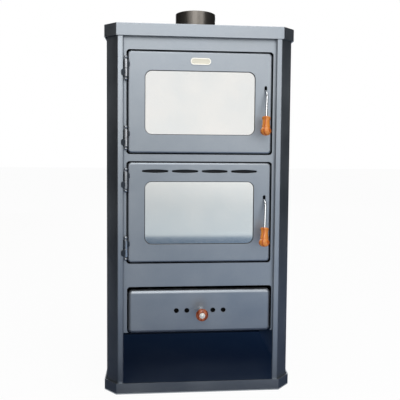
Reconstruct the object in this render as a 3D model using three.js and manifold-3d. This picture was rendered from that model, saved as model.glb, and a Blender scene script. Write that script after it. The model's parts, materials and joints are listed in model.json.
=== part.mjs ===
// Wood-burning cookstove: an upright body of folded steel sheet with cut front corners. From the
// floor up it holds a log niche, an ash drawer, a firebox and an oven under a flat hob plate.
// Millimetres. +Z is up, the front faces -Y, and the origin is at the middle of the underside.

import * as THREE from 'three';
import { mergeVertices } from 'three/addons/utils/BufferGeometryUtils.js';
import Module from 'manifold-3d';

const wasm = await Module();
wasm.setup();

// ---------------------------------------------------------------- driving dimensions

// Clearances
const seat = 0.3; // between two pieces that rest on each other
const running = 0.4; // around a pin, shaft or slide
const doorGap = 3.2; // between a door and the edge of its opening
const latchGap = 0.4; // between a latch hook and its keeper

// Heights, from the floor up. Each door opening's own height follows from the window's.
const plinthHeight = 31;
const nicheHeight = 172.7; // floor to the underside of the ash channel
const channelSheet = 3;
const channelFlange = 25; // turned up along the sides
const drawerOpeningTop = 305;
const drawerWeb = 66.7; // front plate between the drawer and the firebox door
const doorWeb = 19.6; // front plate between the two doors
const headWeb = 64.5; // front plate above the oven door
const hobThickness = 5;
const hobRimHeight = 34;

// Widths, from the door opening outwards. The opening's own width follows from the window's.
const hingeStile = 7.8; // front plate that shows beside a door
const stripWidth = 14.4; // flat front edge of each side panel
const bodyChamfer = 34.3;
const sideSetback = 6.5; // body side behind the edge of the plates
const plateDepth = 460;
const plateChamfer = 36;
const frontSetback = 3.5; // strips behind the edge of the plates
const facadeRecess = 11.5; // front plate behind the strips

// Sheets and plates
const rimSheet = 3;
const plinthFloor = 4;
const bodySheet = 3;
const rearFlange = 19;
const facadeThickness = 4;
const facadeOverlap = 11; // front plate behind each strip
const openingRadius = 9;

// Flue collar
const flueDiameter = 130;
const flueWall = 2.5;
const flueHeight = 89; // above the hob plate
const flueFromRear = 185;
const flueFlangeWidth = 11;
const flueFlangeThickness = 4;

// Doors
const doorProud = 2; // door face in front of the front plate
const doorDepth = 22;
const doorSkin = 3;
const doorEdgeRadius = 6;
const doorCornerRadius = 11;
const sealLedge = 9; // inward fold of the door rim that carries the seal
const sealSize = 7.7;
const windowWidth = 312;
const windowHeight = 179.6;
const windowRise = -0.7; // middle of the window, from the middle of the door
const windowRadius = 20;
const doorStile = 47.8; // beside the window
const doorRail = 52.8; // above and below the window
const glassOverlap = 6.5;
const glassThickness = 4;
const glassFrameWidth = 9.5; // frame seen past the window edge, at the sides
const glassFrameHeight = 16; // the same, above and below, with room for the screws
const glassFrameThickness = 3;
const glassScrewDiameter = 4;
const glassScrewHead = 8;
const glassScrewHeadHeight = 2.5;
const glassScrewSpacing = 240;
const airSlotLength = 74;
const airSlotHeight = 10;
const airSlotEnd = 4; // height at its two round ends
const airSlotPitch = 84.2;
const airSlotCount = 4;
const airSlotRise = 118; // above the middle of the door
const badgeWidth = 57;
const badgeHeight = 19;
const badgeThickness = 2;
const badgeRadius = 9;
const badgeRim = 2.6;
const badgeRise = 115.3;

// Hinges: two turned knuckles, a pin and a weld tab on each
const barrelDiameter = 13;
const upperKnuckle = 25;
const lowerKnuckle = 23;
const hingePin = 7;
const finialLength = 11;
const finialDiameter = 9.6;
const finialNeck = 5.6;
const barrelStandOff = 1; // behind the barrel, to the front plate
const barrelInset = 0.5; // beside the barrel, to the strip
const hingeTabHeight = 17;
const doorTabRadius = 3;
const bodyTabRadius = 6;
const doorTabLap = 0.5; // tab past the door's rolled edge
const bodyTabLap = 6; // tab past the strip's inner edge
const hingeTabThickness = 2.6;
const upperHingeRise = 92; // from the middle of the door
const lowerHingeRise = -101;

// Latch levers
const leverDiameter = 6.5;
const leverInset = 18; // from the door's free edge
const leverRise = 36.4; // pivot above the middle of the door
const pivotBehindFace = 10;
const pivotDiameter = 8;
const leverBend = 22; // pivot to the bend in front of the door
const leverJog = 1.8; // bend beside the pivot
const gripDrop = 75.4; // pivot down to the top of the grip
const gripOutward = 0.3; // outward and sideways run of the lever for each millimetre down
const gripSideways = -0.082;
const gripLength = 53;
const gripCollarDiameter = 24.6;
const gripNeckDiameter = 20.2;
const gripBallDiameter = 30.8;
const gripBore = 34;
const hookReach = 36; // pivot to the far side of the hook
const hookNose = 6;
const hookThickness = 5;
const handleSlotWidth = 7.5;
const handleSlotHeight = 13;
const keeperDepth = 8;
const keeperHeight = 10;
const keeperLift = 8; // pivot height to the underside of the keeper
const bracketSheet = 3;

// Ash drawer and its air slide
const drawerMiddle = 3.2; // right of the stove's middle
const drawerOpeningWidth = 416;
const drawerTopGap = 10.5;
const drawerLap = 2.2; // drawer front below the front plate
const openingLap = 1.5; // opening's lower corners below the front plate's edge
const drawerDepth = 20;
const drawerEdgeRadius = 10;
const drawerCornerRadius = 12;
const panInset = 16; // pan's sides inside the drawer front's
const panHeight = 75;
const panLength = 280;
const panSheet = 2;
const guideHeight = 16;
const guideSheet = 3;
const guideFoot = 12;
const guideLength = 300;
const airHoleDiameter = 14;
const airHolePitch = 30;
const innerAirHole = 37.5; // from the middle of the drawer
const airHoleRise = 64.5; // above the drawer front's lower edge
const slideTravel = 15;
const slideHeight = 28;
const slideWidth = 175;
const slideSheet = 2;
const slideEnd = 3; // guide past the slide's travel
const knobOffset = 3.3; // right of the drawer's middle
const stemDiameter = 8; // through the drawer front
const sleeveDiameter = 15; // from the drawer front to the knob
const knobDiameter = 35;
const knobLength = 24;
const knobStandOff = 26; // knob's back in front of the drawer
const knobScrewDiameter = 5.4;
const knobScrewHead = 10;
const knobScrewHeadHeight = 2;

// Firebox and oven
const casingSheet = 3;
const landingDepth = 25; // front plate's back to the back of the landing
const landingWidth = 17.5; // landing inside the door opening
const rearPassage = 100; // behind the oven and firebox, for the smoke
const fireboxSump = 26; // firebox floor below its front frame
const brickThickness = 25;
const brickHeight = 205;
const brickSetback = 6;
const grateWidth = 220;
const grateDepth = 200;
const grateThickness = 12;
const grateBar = 10;
const grateSlot = 10;
const grateBorder = 15;
const guardHeight = 105;
const guardThickness = 8;
const guardBar = 12;
const guardSlot = 20;
const guardRail = 14;
const baffleThickness = 4;
const baffleGap = 65; // in front of the baffle, for the smoke
const ovenRibHeight = 36; // oven floor to its rack ledges
const ovenRib = 8;
const rackWire = 5;
const rackCrossWires = 11;

// ---------------------------------------------------------------- positions worked out

const doorWidth = windowWidth + 2 * doorStile;
const doorHeight = windowHeight + 2 * doorRail;
const doorOpeningWidth = doorWidth + 2 * doorGap;
const doorOpeningHeight = doorHeight + 2 * doorGap;
const drawerWidth = drawerOpeningWidth - 2 * doorGap;
const panWidth = drawerWidth - 2 * panInset;

const fireboxZ = drawerOpeningTop + drawerWeb + doorOpeningHeight / 2;
const ovenZ = fireboxZ + doorOpeningHeight + doorWeb;
const hobUnderside = ovenZ + doorOpeningHeight / 2 + headWeb;
const hobTop = hobUnderside + hobThickness;

const stripInner = doorOpeningWidth / 2 + hingeStile;
const bodyHalf = stripInner + stripWidth + bodyChamfer;
const plateHalf = bodyHalf + sideSetback;
const plateFront = -plateDepth / 2;
const plateRear = plateDepth / 2;
const bodyFront = plateFront + frontSetback;
const bodyRear = plateRear - frontSetback;
const facadeFront = bodyFront + facadeRecess;
const facadeRear = facadeFront + facadeThickness;
const bodyInner = bodyHalf - bodySheet;
const backPanelFront = bodyRear - bodySheet - seat - bodySheet;

const doorFace = facadeFront - doorProud;
const doorRear = doorFace + doorDepth;
const skinRear = doorFace + doorSkin;
const landingRear = facadeRear + landingDepth;
const landingFront = landingRear - casingSheet;
const landingHalf = doorOpeningWidth / 2 - landingWidth;
const landingHalfHeight = doorOpeningHeight / 2 - landingWidth;
const frameHalf = doorOpeningWidth / 2 + 2 * casingSheet;
const frameHalfHeight = doorOpeningHeight / 2 + 2 * casingSheet;
const casingRear = backPanelFront - rearPassage;

const hingeX = -stripInner + barrelDiameter / 2 + barrelInset;
const hingeY = facadeFront - barrelStandOff - barrelDiameter / 2;
const leverX = doorWidth / 2 - leverInset;
const pivotY = doorFace + pivotBehindFace;

// ---------------------------------------------------------------- solids and shapes

function solid(geometry) {
  const bare = geometry.clone();
  bare.deleteAttribute('normal');
  bare.deleteAttribute('uv');
  const merged = mergeVertices(bare, 1e-4);
  const index = merged.index.array;
  const kept = [];
  for (let i = 0; i < index.length; i += 3) {
    const [a, b, c] = [index[i], index[i + 1], index[i + 2]];
    if (a !== b && b !== c && c !== a) {
      kept.push(a, b, c);
    }
  }
  const vertProperties = new Float32Array(merged.attributes.position.array);
  return new wasm.Manifold(new wasm.Mesh({ numProp: 3, vertProperties, triVerts: new Uint32Array(kept) }));
}

function toGeometry(body) {
  const mesh = body.getMesh();
  const geometry = new THREE.BufferGeometry();
  geometry.setAttribute('position', new THREE.BufferAttribute(mesh.vertProperties, 3));
  geometry.setIndex(new THREE.BufferAttribute(mesh.triVerts, 1));
  const faceted = geometry.toNonIndexed();
  faceted.computeVertexNormals();
  return faceted;
}

const join = (first, ...others) => others.reduce((all, other) => all.add(other), first);
const cut = (body, ...tools) => tools.reduce((rest, tool) => rest.subtract(tool), body);

// A box from its limits along X, Y and Z.
function block([x0, x1], [y0, y1], [z0, z1]) {
  const geometry = new THREE.BoxGeometry(x1 - x0, y1 - y0, z1 - z0);
  geometry.translate((x0 + x1) / 2, (y0 + y1) / 2, (z0 + z1) / 2);
  return solid(geometry);
}

const arcSteps = 2;

// An outline in X and Z, extruded from front to rear along Y.
function frontPrism(shape, front, rear) {
  const geometry = new THREE.ExtrudeGeometry(shape, {
    depth: rear - front, bevelEnabled: false, curveSegments: arcSteps,
  });
  geometry.rotateX(Math.PI / 2);
  geometry.translate(0, rear, 0);
  return solid(geometry);
}

// An outline in Y and Z, extruded along X.
function sidePrism(shape, left, right) {
  const geometry = new THREE.ExtrudeGeometry(shape, {
    depth: right - left, bevelEnabled: false, curveSegments: arcSteps,
  });
  geometry.rotateX(Math.PI / 2);
  geometry.rotateZ(Math.PI / 2);
  geometry.translate(left, 0, 0);
  return solid(geometry);
}

// An outline in X and Y, extruded upwards.
function uprightPrism(shape, bottom, top) {
  const geometry = new THREE.ExtrudeGeometry(shape, {
    depth: top - bottom, bevelEnabled: false, curveSegments: arcSteps,
  });
  geometry.translate(0, 0, bottom);
  return solid(geometry);
}

// A pressed panel: its front edges are rolled over with the given radius.
function pressedPanel(shape, edge, front, rear) {
  const depth = rear - front;
  const geometry = new THREE.ExtrudeGeometry(shape, {
    depth, bevelEnabled: true, bevelThickness: edge, bevelSize: edge, bevelOffset: -edge,
    bevelSegments: 3, curveSegments: arcSteps,
  });
  geometry.rotateX(Math.PI / 2);
  geometry.translate(0, front + depth + edge, 0);
  const far = 2000;
  return cut(solid(geometry), block([-far, far], [rear, rear + depth + 4 * edge], [-far, far]));
}

function roundedRect(width, height, radius, Kind = THREE.Shape) {
  const [x, y] = [width / 2 - radius, height / 2 - radius];
  const outline = new Kind();
  outline.absarc(x, -y, radius, -Math.PI / 2, 0);
  outline.absarc(x, y, radius, 0, Math.PI / 2);
  outline.absarc(-x, y, radius, Math.PI / 2, Math.PI);
  outline.absarc(-x, -y, radius, Math.PI, 1.5 * Math.PI);
  outline.closePath();
  return outline;
}

function ring(outer, hole) {
  outer.holes.push(hole);
  return outer;
}

function movedShape(shape, x, y, Kind = THREE.Shape) {
  return new Kind(shape.getPoints(arcSteps).map((p) => new THREE.Vector2(p.x + x, p.y + y)));
}

// A round outline that its polygon goes round, so the whole diameter stays clear.
function roundOutline(x, y, diameter, sides, Kind = THREE.Path) {
  const radius = diameter / 2 / Math.cos(Math.PI / sides);
  const corners = Array.from({ length: sides }, (_, i) => {
    const angle = 2 * Math.PI * (i + 0.5) / sides;
    return new THREE.Vector2(x + radius * Math.cos(angle), y + radius * Math.sin(angle));
  });
  return new Kind(corners);
}

const polygon = (points) => new THREE.Shape(points.map(([x, y]) => new THREE.Vector2(x, y)));

const rectangle = ([x0, x1], [y0, y1]) => polygon([[x0, y0], [x1, y0], [x1, y1], [x0, y1]]);

// A rectangle with its two front corners cut off at 45 degrees, seen from above.
function plateOutline(inset) {
  const half = plateHalf - inset;
  const [front, rear] = [plateFront + inset, plateRear - inset];
  const chamfer = plateChamfer - inset * (2 - Math.SQRT2);
  return polygon([
    [-half, rear], [-half, front + chamfer], [-half + chamfer, front],
    [half - chamfer, front], [half, front + chamfer], [half, rear],
  ]);
}

// The section of a folded sheet: its outer face follows the points, its thickness is on the left.
function foldedSheet(points, sheet) {
  const path = points.map(([x, y]) => new THREE.Vector2(x, y));
  const inner = path.map((point, i) => {
    const before = path[Math.max(i - 1, 0)];
    const after = path[Math.min(i + 1, path.length - 1)];
    const first = i > 0 ? point.clone().sub(before).normalize() : after.clone().sub(point).normalize();
    const last = i < path.length - 1 ? after.clone().sub(point).normalize() : first;
    const left = new THREE.Vector2(-first.y - last.y, first.x + last.x).normalize();
    const reach = sheet / left.dot(new THREE.Vector2(-first.y, first.x));
    return point.clone().addScaledVector(left, reach);
  });
  return new THREE.Shape([...path, ...inner.reverse()]);
}

// A turned body about the Z axis, from its profile of [radius, height] points.
function turned(profile, segments) {
  const points = profile.map(([r, z]) => new THREE.Vector2(r, z));
  const geometry = new THREE.LatheGeometry(points, segments);
  geometry.rotateX(Math.PI / 2);
  return solid(geometry);
}

// A turned body whose axis points to the front, -Y.
function turnedToFront(profile, segments) {
  const points = profile.map(([r, y]) => new THREE.Vector2(r, y));
  const geometry = new THREE.LatheGeometry(points, segments);
  geometry.rotateX(Math.PI);
  return solid(geometry);
}

function roundRod(path, diameter, steps) {
  const section = new THREE.Shape();
  section.absarc(0, 0, diameter / 2, 0, 2 * Math.PI);
  return solid(new THREE.ExtrudeGeometry(section, { steps, curveSegments: 4, extrudePath: path }));
}

function crossRod([x0, x1], y, z, diameter, segments) {
  const geometry = new THREE.CylinderGeometry(diameter / 2, diameter / 2, x1 - x0, segments);
  geometry.rotateZ(Math.PI / 2);
  geometry.translate((x0 + x1) / 2, y, z);
  return solid(geometry);
}

// ---------------------------------------------------------------- materials

const finish = (color, roughness, metalness, more = {}) =>
  new THREE.MeshStandardMaterial({ color, roughness, metalness, ...more });
const stovePaint = finish('#7c848d', 0.45, 0.6);
const fluePaint = finish('#3a3733', 0.5, 0.5);
const innerSteel = finish('#2b2c2e', 0.7, 0.4);
const castIron = finish('#26272a', 0.8, 0.5);
const brightSteel = finish('#c9cdd1', 0.25, 1);
const zincSteel = finish('#9ea3a6', 0.45, 0.9);
const fireclay = finish('#c9b48c', 0.95, 0);
const wood = finish('#b5622c', 0.35, 0);
const glass = finish('#dfe6e6', 0.05, 0, { transparent: true, opacity: 0.4 });
const rope = finish('#4a4844', 1, 0);
const badgeMetal = finish('#e6dcc0', 0.35, 0.3);

const stove = new THREE.Group();

function part(name, body, material, parent = stove) {
  const mesh = new THREE.Mesh(toGeometry(body), material);
  mesh.name = name;
  parent.add(mesh);
  return mesh;
}

// ---------------------------------------------------------------- body shell

function addPlinth() {
  const tray = cut(
    uprightPrism(plateOutline(0), 0, plinthHeight),
    uprightPrism(plateOutline(rimSheet), plinthFloor, plinthHeight + 1),
  );
  part('plinth', tray, stovePaint);
}

function addTopPlate() {
  const holeRadius = flueDiameter / 2 + seat;
  const hole = turned([[0, -1], [holeRadius, -1], [holeRadius, hobThickness + 1], [0, hobThickness + 1]], 32);
  const cap = cut(
    uprightPrism(plateOutline(0), hobTop - hobRimHeight, hobTop),
    uprightPrism(plateOutline(rimSheet), hobTop - hobRimHeight - 1, hobUnderside),
    hole.translate(0, plateRear - flueFromRear, hobUnderside),
  );
  part('top_plate', cap, stovePaint);
}

// One folded sheet on each side: return, front strip, 45 degree corner, side and rear flange.
function addSidePanels() {
  const path = [
    [stripInner, facadeFront - seat], [stripInner, bodyFront], [bodyHalf - bodyChamfer, bodyFront],
    [bodyHalf, bodyFront + bodyChamfer], [bodyHalf, bodyRear], [bodyHalf - rearFlange, bodyRear],
  ];
  const right = uprightPrism(foldedSheet(path, bodySheet), plinthFloor + seat, hobUnderside - seat);
  part('side_panel_right', right, stovePaint);
  part('side_panel_left', right.mirror([1, 0, 0]), stovePaint);
}

function addBackPanel() {
  const half = bodyInner - seat;
  const panel = block(
    [-half, half], [backPanelFront, backPanelFront + bodySheet],
    [plinthFloor + seat, hobUnderside - seat],
  );
  part('back_panel', panel, stovePaint);
}

function addFrontPlate() {
  const half = stripInner + facadeOverlap;
  const plate = rectangle([-half, half], [nicheHeight, hobUnderside - seat]);
  const opening = (z) => movedShape(
    roundedRect(doorOpeningWidth, doorOpeningHeight, openingRadius), 0, z, THREE.Path,
  );
  plate.holes.push(opening(ovenZ), opening(fireboxZ));
  const lowest = nicheHeight - openingLap;
  const drawerOpening = movedShape(
    roundedRect(drawerOpeningWidth, drawerOpeningTop - lowest, openingRadius),
    drawerMiddle, (drawerOpeningTop + lowest) / 2,
  );
  const body = cut(
    frontPrism(plate, facadeFront, facadeRear),
    frontPrism(drawerOpening, facadeFront - 1, facadeRear + 1),
  );
  part('front_plate', body, stovePaint);
}

function addFlueCollar() {
  const outer = flueDiameter / 2;
  const inner = outer - flueWall;
  const flangeTop = hobUnderside - seat;
  const collar = turned([
    [inner, flangeTop - flueFlangeThickness], [outer + flueFlangeWidth, flangeTop - flueFlangeThickness],
    [outer + flueFlangeWidth, flangeTop], [outer, flangeTop], [outer, hobTop + flueHeight],
    [inner, hobTop + flueHeight], [inner, flangeTop - flueFlangeThickness],
  ], 32);
  part('flue_collar', collar, fluePaint).position.y = plateRear - flueFromRear;
}

// ---------------------------------------------------------------- ash channel and guides

const drawerFace = facadeFront - doorProud;
const drawerRear = drawerFace + drawerDepth;

// The space inside the body seen from above, less a clearance along its sides and corners.
function insideOutline(clearance, front, rear) {
  const half = bodyInner - clearance;
  const diagonal = bodyHalf - bodyChamfer - bodyFront - Math.SQRT2 * (bodySheet + clearance);
  return polygon([
    [half, rear], [-half, rear], [-half, half - diagonal], [-front - diagonal, front],
    [front + diagonal, front], [half, half - diagonal],
  ]);
}

function addAshChannel() {
  const floorTop = nicheHeight + channelSheet;
  const flangeTop = floorTop + channelFlange;
  const [front, rear] = [drawerRear + 1, backPanelFront - seat];
  const channel = cut(
    uprightPrism(insideOutline(seat, front, rear), nicheHeight, flangeTop),
    uprightPrism(insideOutline(seat + channelSheet, front - 1, rear + 1), floorTop, flangeTop + 1),
  );
  part('ash_channel', channel, innerSteel);
}

function addDrawerGuides() {
  const inner = panWidth / 2 + 3 * running;
  const base = nicheHeight + channelSheet + seat;
  const start = doorRear + 5;
  const depth = [start, start + guideLength];
  const right = join(
    block([inner, inner + guideSheet], depth, [base, base + guideHeight]),
    block([inner, inner + guideFoot], depth, [base, base + guideSheet]),
  );
  part('drawer_guide_right', right, zincSteel).position.x = drawerMiddle;
  part('drawer_guide_left', right.mirror([1, 0, 0]), zincSteel).position.x = drawerMiddle;
}

// ---------------------------------------------------------------- firebox and oven

const frameFront = facadeRear + seat;

function landingHole(z) {
  return block(
    [-landingHalf, landingHalf], [landingFront - 1, landingRear + 1],
    [z - landingHalfHeight, z + landingHalfHeight],
  );
}

function landingPocket(z) {
  const [half, halfHeight] = [frameHalf - casingSheet, frameHalfHeight - casingSheet];
  return block([-half, half], [frameFront - 1, landingFront], [z - halfHeight, z + halfHeight]);
}

function addFireboxCasing() {
  const z = fireboxZ;
  const [bottom, top] = [z - frameHalfHeight, z + frameHalfHeight];
  const floor = bottom - fireboxSump;
  const inner = frameHalf - casingSheet;
  const grateHole = grateWidth / 2 - grateBorder;
  const casing = cut(
    join(
      block([-frameHalf, frameHalf], [frameFront, landingRear], [bottom, top]),
      block([-frameHalf, frameHalf], [landingFront, casingRear + casingSheet], [floor, top]),
    ),
    landingPocket(z),
    landingHole(z),
    block([-inner, inner], [landingRear, casingRear], [floor + casingSheet, top + 1]),
    block([-grateHole, grateHole], grateSpan(grateBorder), [floor - 1, floor + casingSheet + 1]),
  );
  part('firebox_casing', casing, innerSteel);
}

// The grate's limits along Y, less a border.
function grateSpan(border) {
  const middle = (landingRear + casingRear - brickThickness) / 2;
  return [middle - grateDepth / 2 + border, middle + grateDepth / 2 - border];
}

const fireFloor = fireboxZ - frameHalfHeight - fireboxSump + casingSheet + seat;

function addFirebricks() {
  const outer = frameHalf - casingSheet - seat;
  const rear = casingRear - seat;
  const height = [fireFloor, fireFloor + brickHeight];
  const side = [landingRear + brickSetback, rear - brickThickness - seat];
  part('firebrick_right', block([outer - brickThickness, outer], side, height), fireclay);
  part('firebrick_left', block([-outer, -outer + brickThickness], side, height), fireclay);
  part('firebrick_back', block([-outer, outer], [rear - brickThickness, rear], height), fireclay);
}

function addFireGrate() {
  const [near, far] = grateSpan(0);
  const middle = (near + far) / 2;
  const rows = [
    [near + grateBorder, middle - grateBar / 2],
    [middle + grateBar / 2, far - grateBorder],
  ];
  const height = [fireFloor, fireFloor + grateThickness];
  const room = grateWidth - 2 * grateBorder + grateBar;
  const count = Math.floor(room / (grateBar + grateSlot));
  const slots = [];
  for (let i = 0; i < count; i += 1) {
    const x = (i - (count - 1) / 2) * (grateBar + grateSlot);
    for (const row of rows) {
      slots.push(block([x - grateSlot / 2, x + grateSlot / 2], row, [fireFloor - 1, height[1] + 1]));
    }
  }
  const plate = block([-grateWidth / 2, grateWidth / 2], [near, far], height);
  part('fire_grate', cut(plate, ...slots), castIron);
}

// A cast fence that keeps logs and embers off the firebox door.
function addLogGuard() {
  const half = frameHalf - casingSheet - seat - brickThickness - 2;
  const front = landingRear + seat;
  const rear = front + guardThickness;
  const pitch = guardBar + guardSlot;
  const count = Math.floor((2 * half - guardBar) / pitch);
  const slots = [];
  for (let i = 0; i < count; i += 1) {
    const x = (i - (count - 1) / 2) * pitch;
    slots.push(block(
      [x - guardSlot / 2, x + guardSlot / 2], [front - 1, rear + 1], [guardRail, guardHeight - guardRail],
    ));
  }
  const fence = cut(block([-half, half], [front, rear], [0, guardHeight]), ...slots);
  part('log_guard', fence, castIron).position.z = fireFloor;
}

function addBaffle() {
  const bottom = fireboxZ + frameHalfHeight + seat;
  const plate = block(
    [-frameHalf, frameHalf], [landingRear + baffleGap, casingRear + casingSheet],
    [bottom, bottom + baffleThickness],
  );
  part('baffle_plate', plate, castIron);
}

const ovenFloor = ovenZ - landingHalfHeight;

function addOvenBox() {
  const z = ovenZ;
  const [half, halfHeight] = [landingHalf + casingSheet, landingHalfHeight + casingSheet];
  const rib = (side) => block(
    side > 0 ? [landingHalf - ovenRib, landingHalf + 1] : [-landingHalf - 1, -landingHalf + ovenRib],
    [landingRear + keeperDepth + 20, casingRear],
    [ovenFloor + ovenRibHeight - ovenRib, ovenFloor + ovenRibHeight],
  );
  const shell = cut(
    join(
      block([-frameHalf, frameHalf], [frameFront, landingRear], [z - frameHalfHeight, z + frameHalfHeight]),
      block([-half, half], [landingFront, casingRear + casingSheet], [z - halfHeight, z + halfHeight]),
    ),
    landingPocket(z),
    landingHole(z),
    block([-landingHalf, landingHalf], [landingRear, casingRear], [ovenFloor, z + landingHalfHeight]),
  );
  part('oven_box', join(shell, rib(1), rib(-1)), innerSteel);
}

function addOvenRack() {
  const half = landingHalf - 2;
  const [near, far] = [landingRear + keeperDepth + 24, casingRear - 6];
  const z = ovenFloor + ovenRibHeight + seat + rackWire / 2;
  const wire = rackWire / 2;
  const along = (x) => block([x - wire, x + wire], [near, far], [z - wire, z + wire]);
  const across = (y) => block([-half, half], [y - wire, y + wire], [z - wire, z + wire]);
  const bars = [across(near + wire), across(far - wire)];
  for (let i = 0; i < rackCrossWires; i += 1) {
    const x = (half - wire) * (2 * i / (rackCrossWires - 1) - 1);
    bars.push(along(x));
  }
  part('oven_rack', join(...bars), brightSteel);
}

// The bar behind the landing that the latch hook holds on to.
function addKeeper(name, z, right) {
  const bottom = z + leverRise + keeperLift;
  const bar = block(
    [leverX - handleSlotWidth / 2 - bracketSheet - seat - hookThickness - 6, right],
    [landingRear + seat, landingRear + seat + keeperDepth], [bottom, bottom + keeperHeight],
  );
  part(name, bar, innerSteel);
}

// ---------------------------------------------------------------- hinges

const barrel = barrelDiameter / 2;
const boreRadius = hingePin / 2 + running + 0.1;

// A turned end: a groove, a neck and a ball. It starts at the knuckle's end and points up.
function finial(z, way) {
  const ball = finialDiameter / 2;
  const neck = finialNeck / 2;
  const middle = finialLength - ball;
  const points = [[barrel - 0.8, 0], [neck, 0.9], [neck, middle - ball * 0.8]];
  const steps = 4;
  for (let i = 1; i < steps; i += 1) {
    const angle = -Math.PI / 3.4 + (i / steps) * (Math.PI / 2 + Math.PI / 3.4);
    points.push([ball * Math.cos(angle), middle + ball * Math.sin(angle)]);
  }
  points.push([0, finialLength]);
  return points.map(([r, h]) => [r, z + way * h]);
}

function hingeTab(way, reach, radius, back, z) {
  const tab = roundedRect(reach, hingeTabHeight, radius);
  return frontPrism(tab, back - hingeTabThickness, back).translate(way * reach / 2, 0, z);
}

// Both halves are drawn about the hinge line, with the joint between the knuckles at z = 0.
function addHinge(prefix, doorGroup, doorZ, rise) {
  const upper = turned([
    [0, upperKnuckle - 4], [boreRadius, upperKnuckle - 4], [boreRadius, running], [barrel, running],
    [barrel, upperKnuckle - 0.8], ...finial(upperKnuckle, 1),
  ], 12);
  const lower = turned([
    ...finial(-lowerKnuckle, -1).reverse(), [barrel, -lowerKnuckle + 0.8], [barrel, 0],
    [hingePin / 2, 0], [hingePin / 2, upperKnuckle - 6], [0, upperKnuckle - 6],
  ], 12);
  const doorTab = hingeTab(1, -doorWidth / 2 - hingeX + doorEdgeRadius + doorTabLap, doorTabRadius,
    doorFace - seat - hingeY, upperKnuckle / 2);
  const bodyTab = hingeTab(-1, hingeX + stripInner + bodyTabLap, bodyTabRadius,
    bodyFront - seat - hingeY, -lowerKnuckle / 2);
  const core = turned([
    [0, running], [boreRadius, running], [boreRadius, upperKnuckle - 4], [0, upperKnuckle - 4],
  ], 12);
  const doorHalf = part(`${prefix}_knuckle`, cut(join(upper, doorTab), core), stovePaint, doorGroup);
  doorHalf.position.set(hingeX, hingeY, rise);
  const bodyHalfPiece = part(`${prefix}_pin_half`, join(lower, bodyTab), stovePaint);
  bodyHalfPiece.position.set(hingeX, hingeY, doorZ + rise);
}

// ---------------------------------------------------------------- doors

// A slot with round ends whose long sides bow out slightly.
function airSlot(x) {
  const [end, bow] = [airSlotEnd / 2, airSlotHeight / 2];
  const half = airSlotLength / 2;
  const slot = new THREE.Shape();
  slot.moveTo(x - half + end, -end);
  slot.quadraticCurveTo(x, -2 * bow + end, x + half - end, -end);
  slot.absarc(x + half - end, 0, end, -Math.PI / 2, Math.PI / 2);
  slot.quadraticCurveTo(x, 2 * bow - end, x - half + end, end);
  slot.absarc(x - half + end, 0, end, Math.PI / 2, 1.5 * Math.PI);
  return slot;
}

// A rounded outline set in by a distance; its corners keep at least a small radius.
function doorOutline(width, height, radius, by, Kind = THREE.Shape) {
  return roundedRect(width - 2 * by, height - 2 * by, Math.max(radius - by, 2), Kind);
}

function doorPanel(withAirSlots) {
  const inset = (by) => doorOutline(doorWidth, doorHeight, doorCornerRadius, by);
  const ledge = doorSkin + sealLedge;
  const ledgeRear = landingFront - sealSize - 2 * seat;
  const openings = [
    pressedPanel(inset(doorSkin), doorEdgeRadius - doorSkin, skinRear, ledgeRear - doorSkin),
    frontPrism(inset(ledge), skinRear, doorRear + 1),
    frontPrism(inset(doorSkin), ledgeRear, doorRear + 1),
    frontPrism(
      movedShape(roundedRect(windowWidth, windowHeight, windowRadius), 0, windowRise),
      doorFace - 1, skinRear + 1,
    ),
    frontPrism(
      movedShape(roundedRect(handleSlotWidth, handleSlotHeight, handleSlotWidth / 2 - 0.1),
        leverX, leverRise - leverDiameter / 2 - seat + handleSlotHeight / 2),
      doorFace - 1, skinRear + 1,
    ),
  ];
  if (withAirSlots) {
    for (let i = 0; i < airSlotCount; i += 1) {
      const x = (i - (airSlotCount - 1) / 2) * airSlotPitch;
      openings.push(frontPrism(airSlot(x), doorFace - 1, skinRear + 1).translate(0, 0, airSlotRise));
    }
  }
  return cut(pressedPanel(inset(0), doorEdgeRadius, doorFace, doorRear), ...openings);
}

function addGlazing(prefix, door) {
  const glassFront = skinRear + seat;
  const frameFrontY = glassFront + glassThickness + seat;
  const pane = roundedRect(
    windowWidth + 2 * glassOverlap, windowHeight + 2 * glassOverlap, windowRadius + glassOverlap,
  );
  part(`${prefix}_glass`, frontPrism(pane, glassFront, glassFront + glassThickness), glass, door)
    .position.z = windowRise;

  const outer = [windowWidth + 2 * glassFrameWidth, windowHeight + 2 * glassFrameHeight];
  const frame = ring(
    roundedRect(...outer, windowRadius),
    roundedRect(windowWidth - 6, windowHeight - 6, windowRadius - 3, THREE.Path),
  );
  const screwZ = windowHeight / 2 + (glassOverlap + glassFrameHeight) / 2;
  const frameRear = frameFrontY + glassFrameThickness;
  const shank = glassScrewHeadHeight + frameRear - glassFront;
  const screw = turnedToFront([
    [0, 0], [glassScrewHead / 2, 0], [glassScrewHead / 2, glassScrewHeadHeight],
    [glassScrewDiameter / 2, glassScrewHeadHeight], [glassScrewDiameter / 2, shank], [0, shank],
  ], 8);
  const holes = [];
  for (const [i, x, z] of [[1, -1, 1], [2, 1, 1], [3, -1, -1], [4, 1, -1]]) {
    holes.push(roundOutline(x * glassScrewSpacing / 2, z * screwZ, glassScrewDiameter + 2 * running, 10));
    part(`${prefix}_glass_screw_${i}`, screw, brightSteel, door)
      .position.set(
        x * glassScrewSpacing / 2, frameRear + seat + glassScrewHeadHeight, windowRise + z * screwZ,
      );
  }
  frame.holes.push(...holes);
  part(`${prefix}_glass_frame`, frontPrism(frame, frameFrontY, frameRear), innerSteel, door)
    .position.z = windowRise;
}

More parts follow.
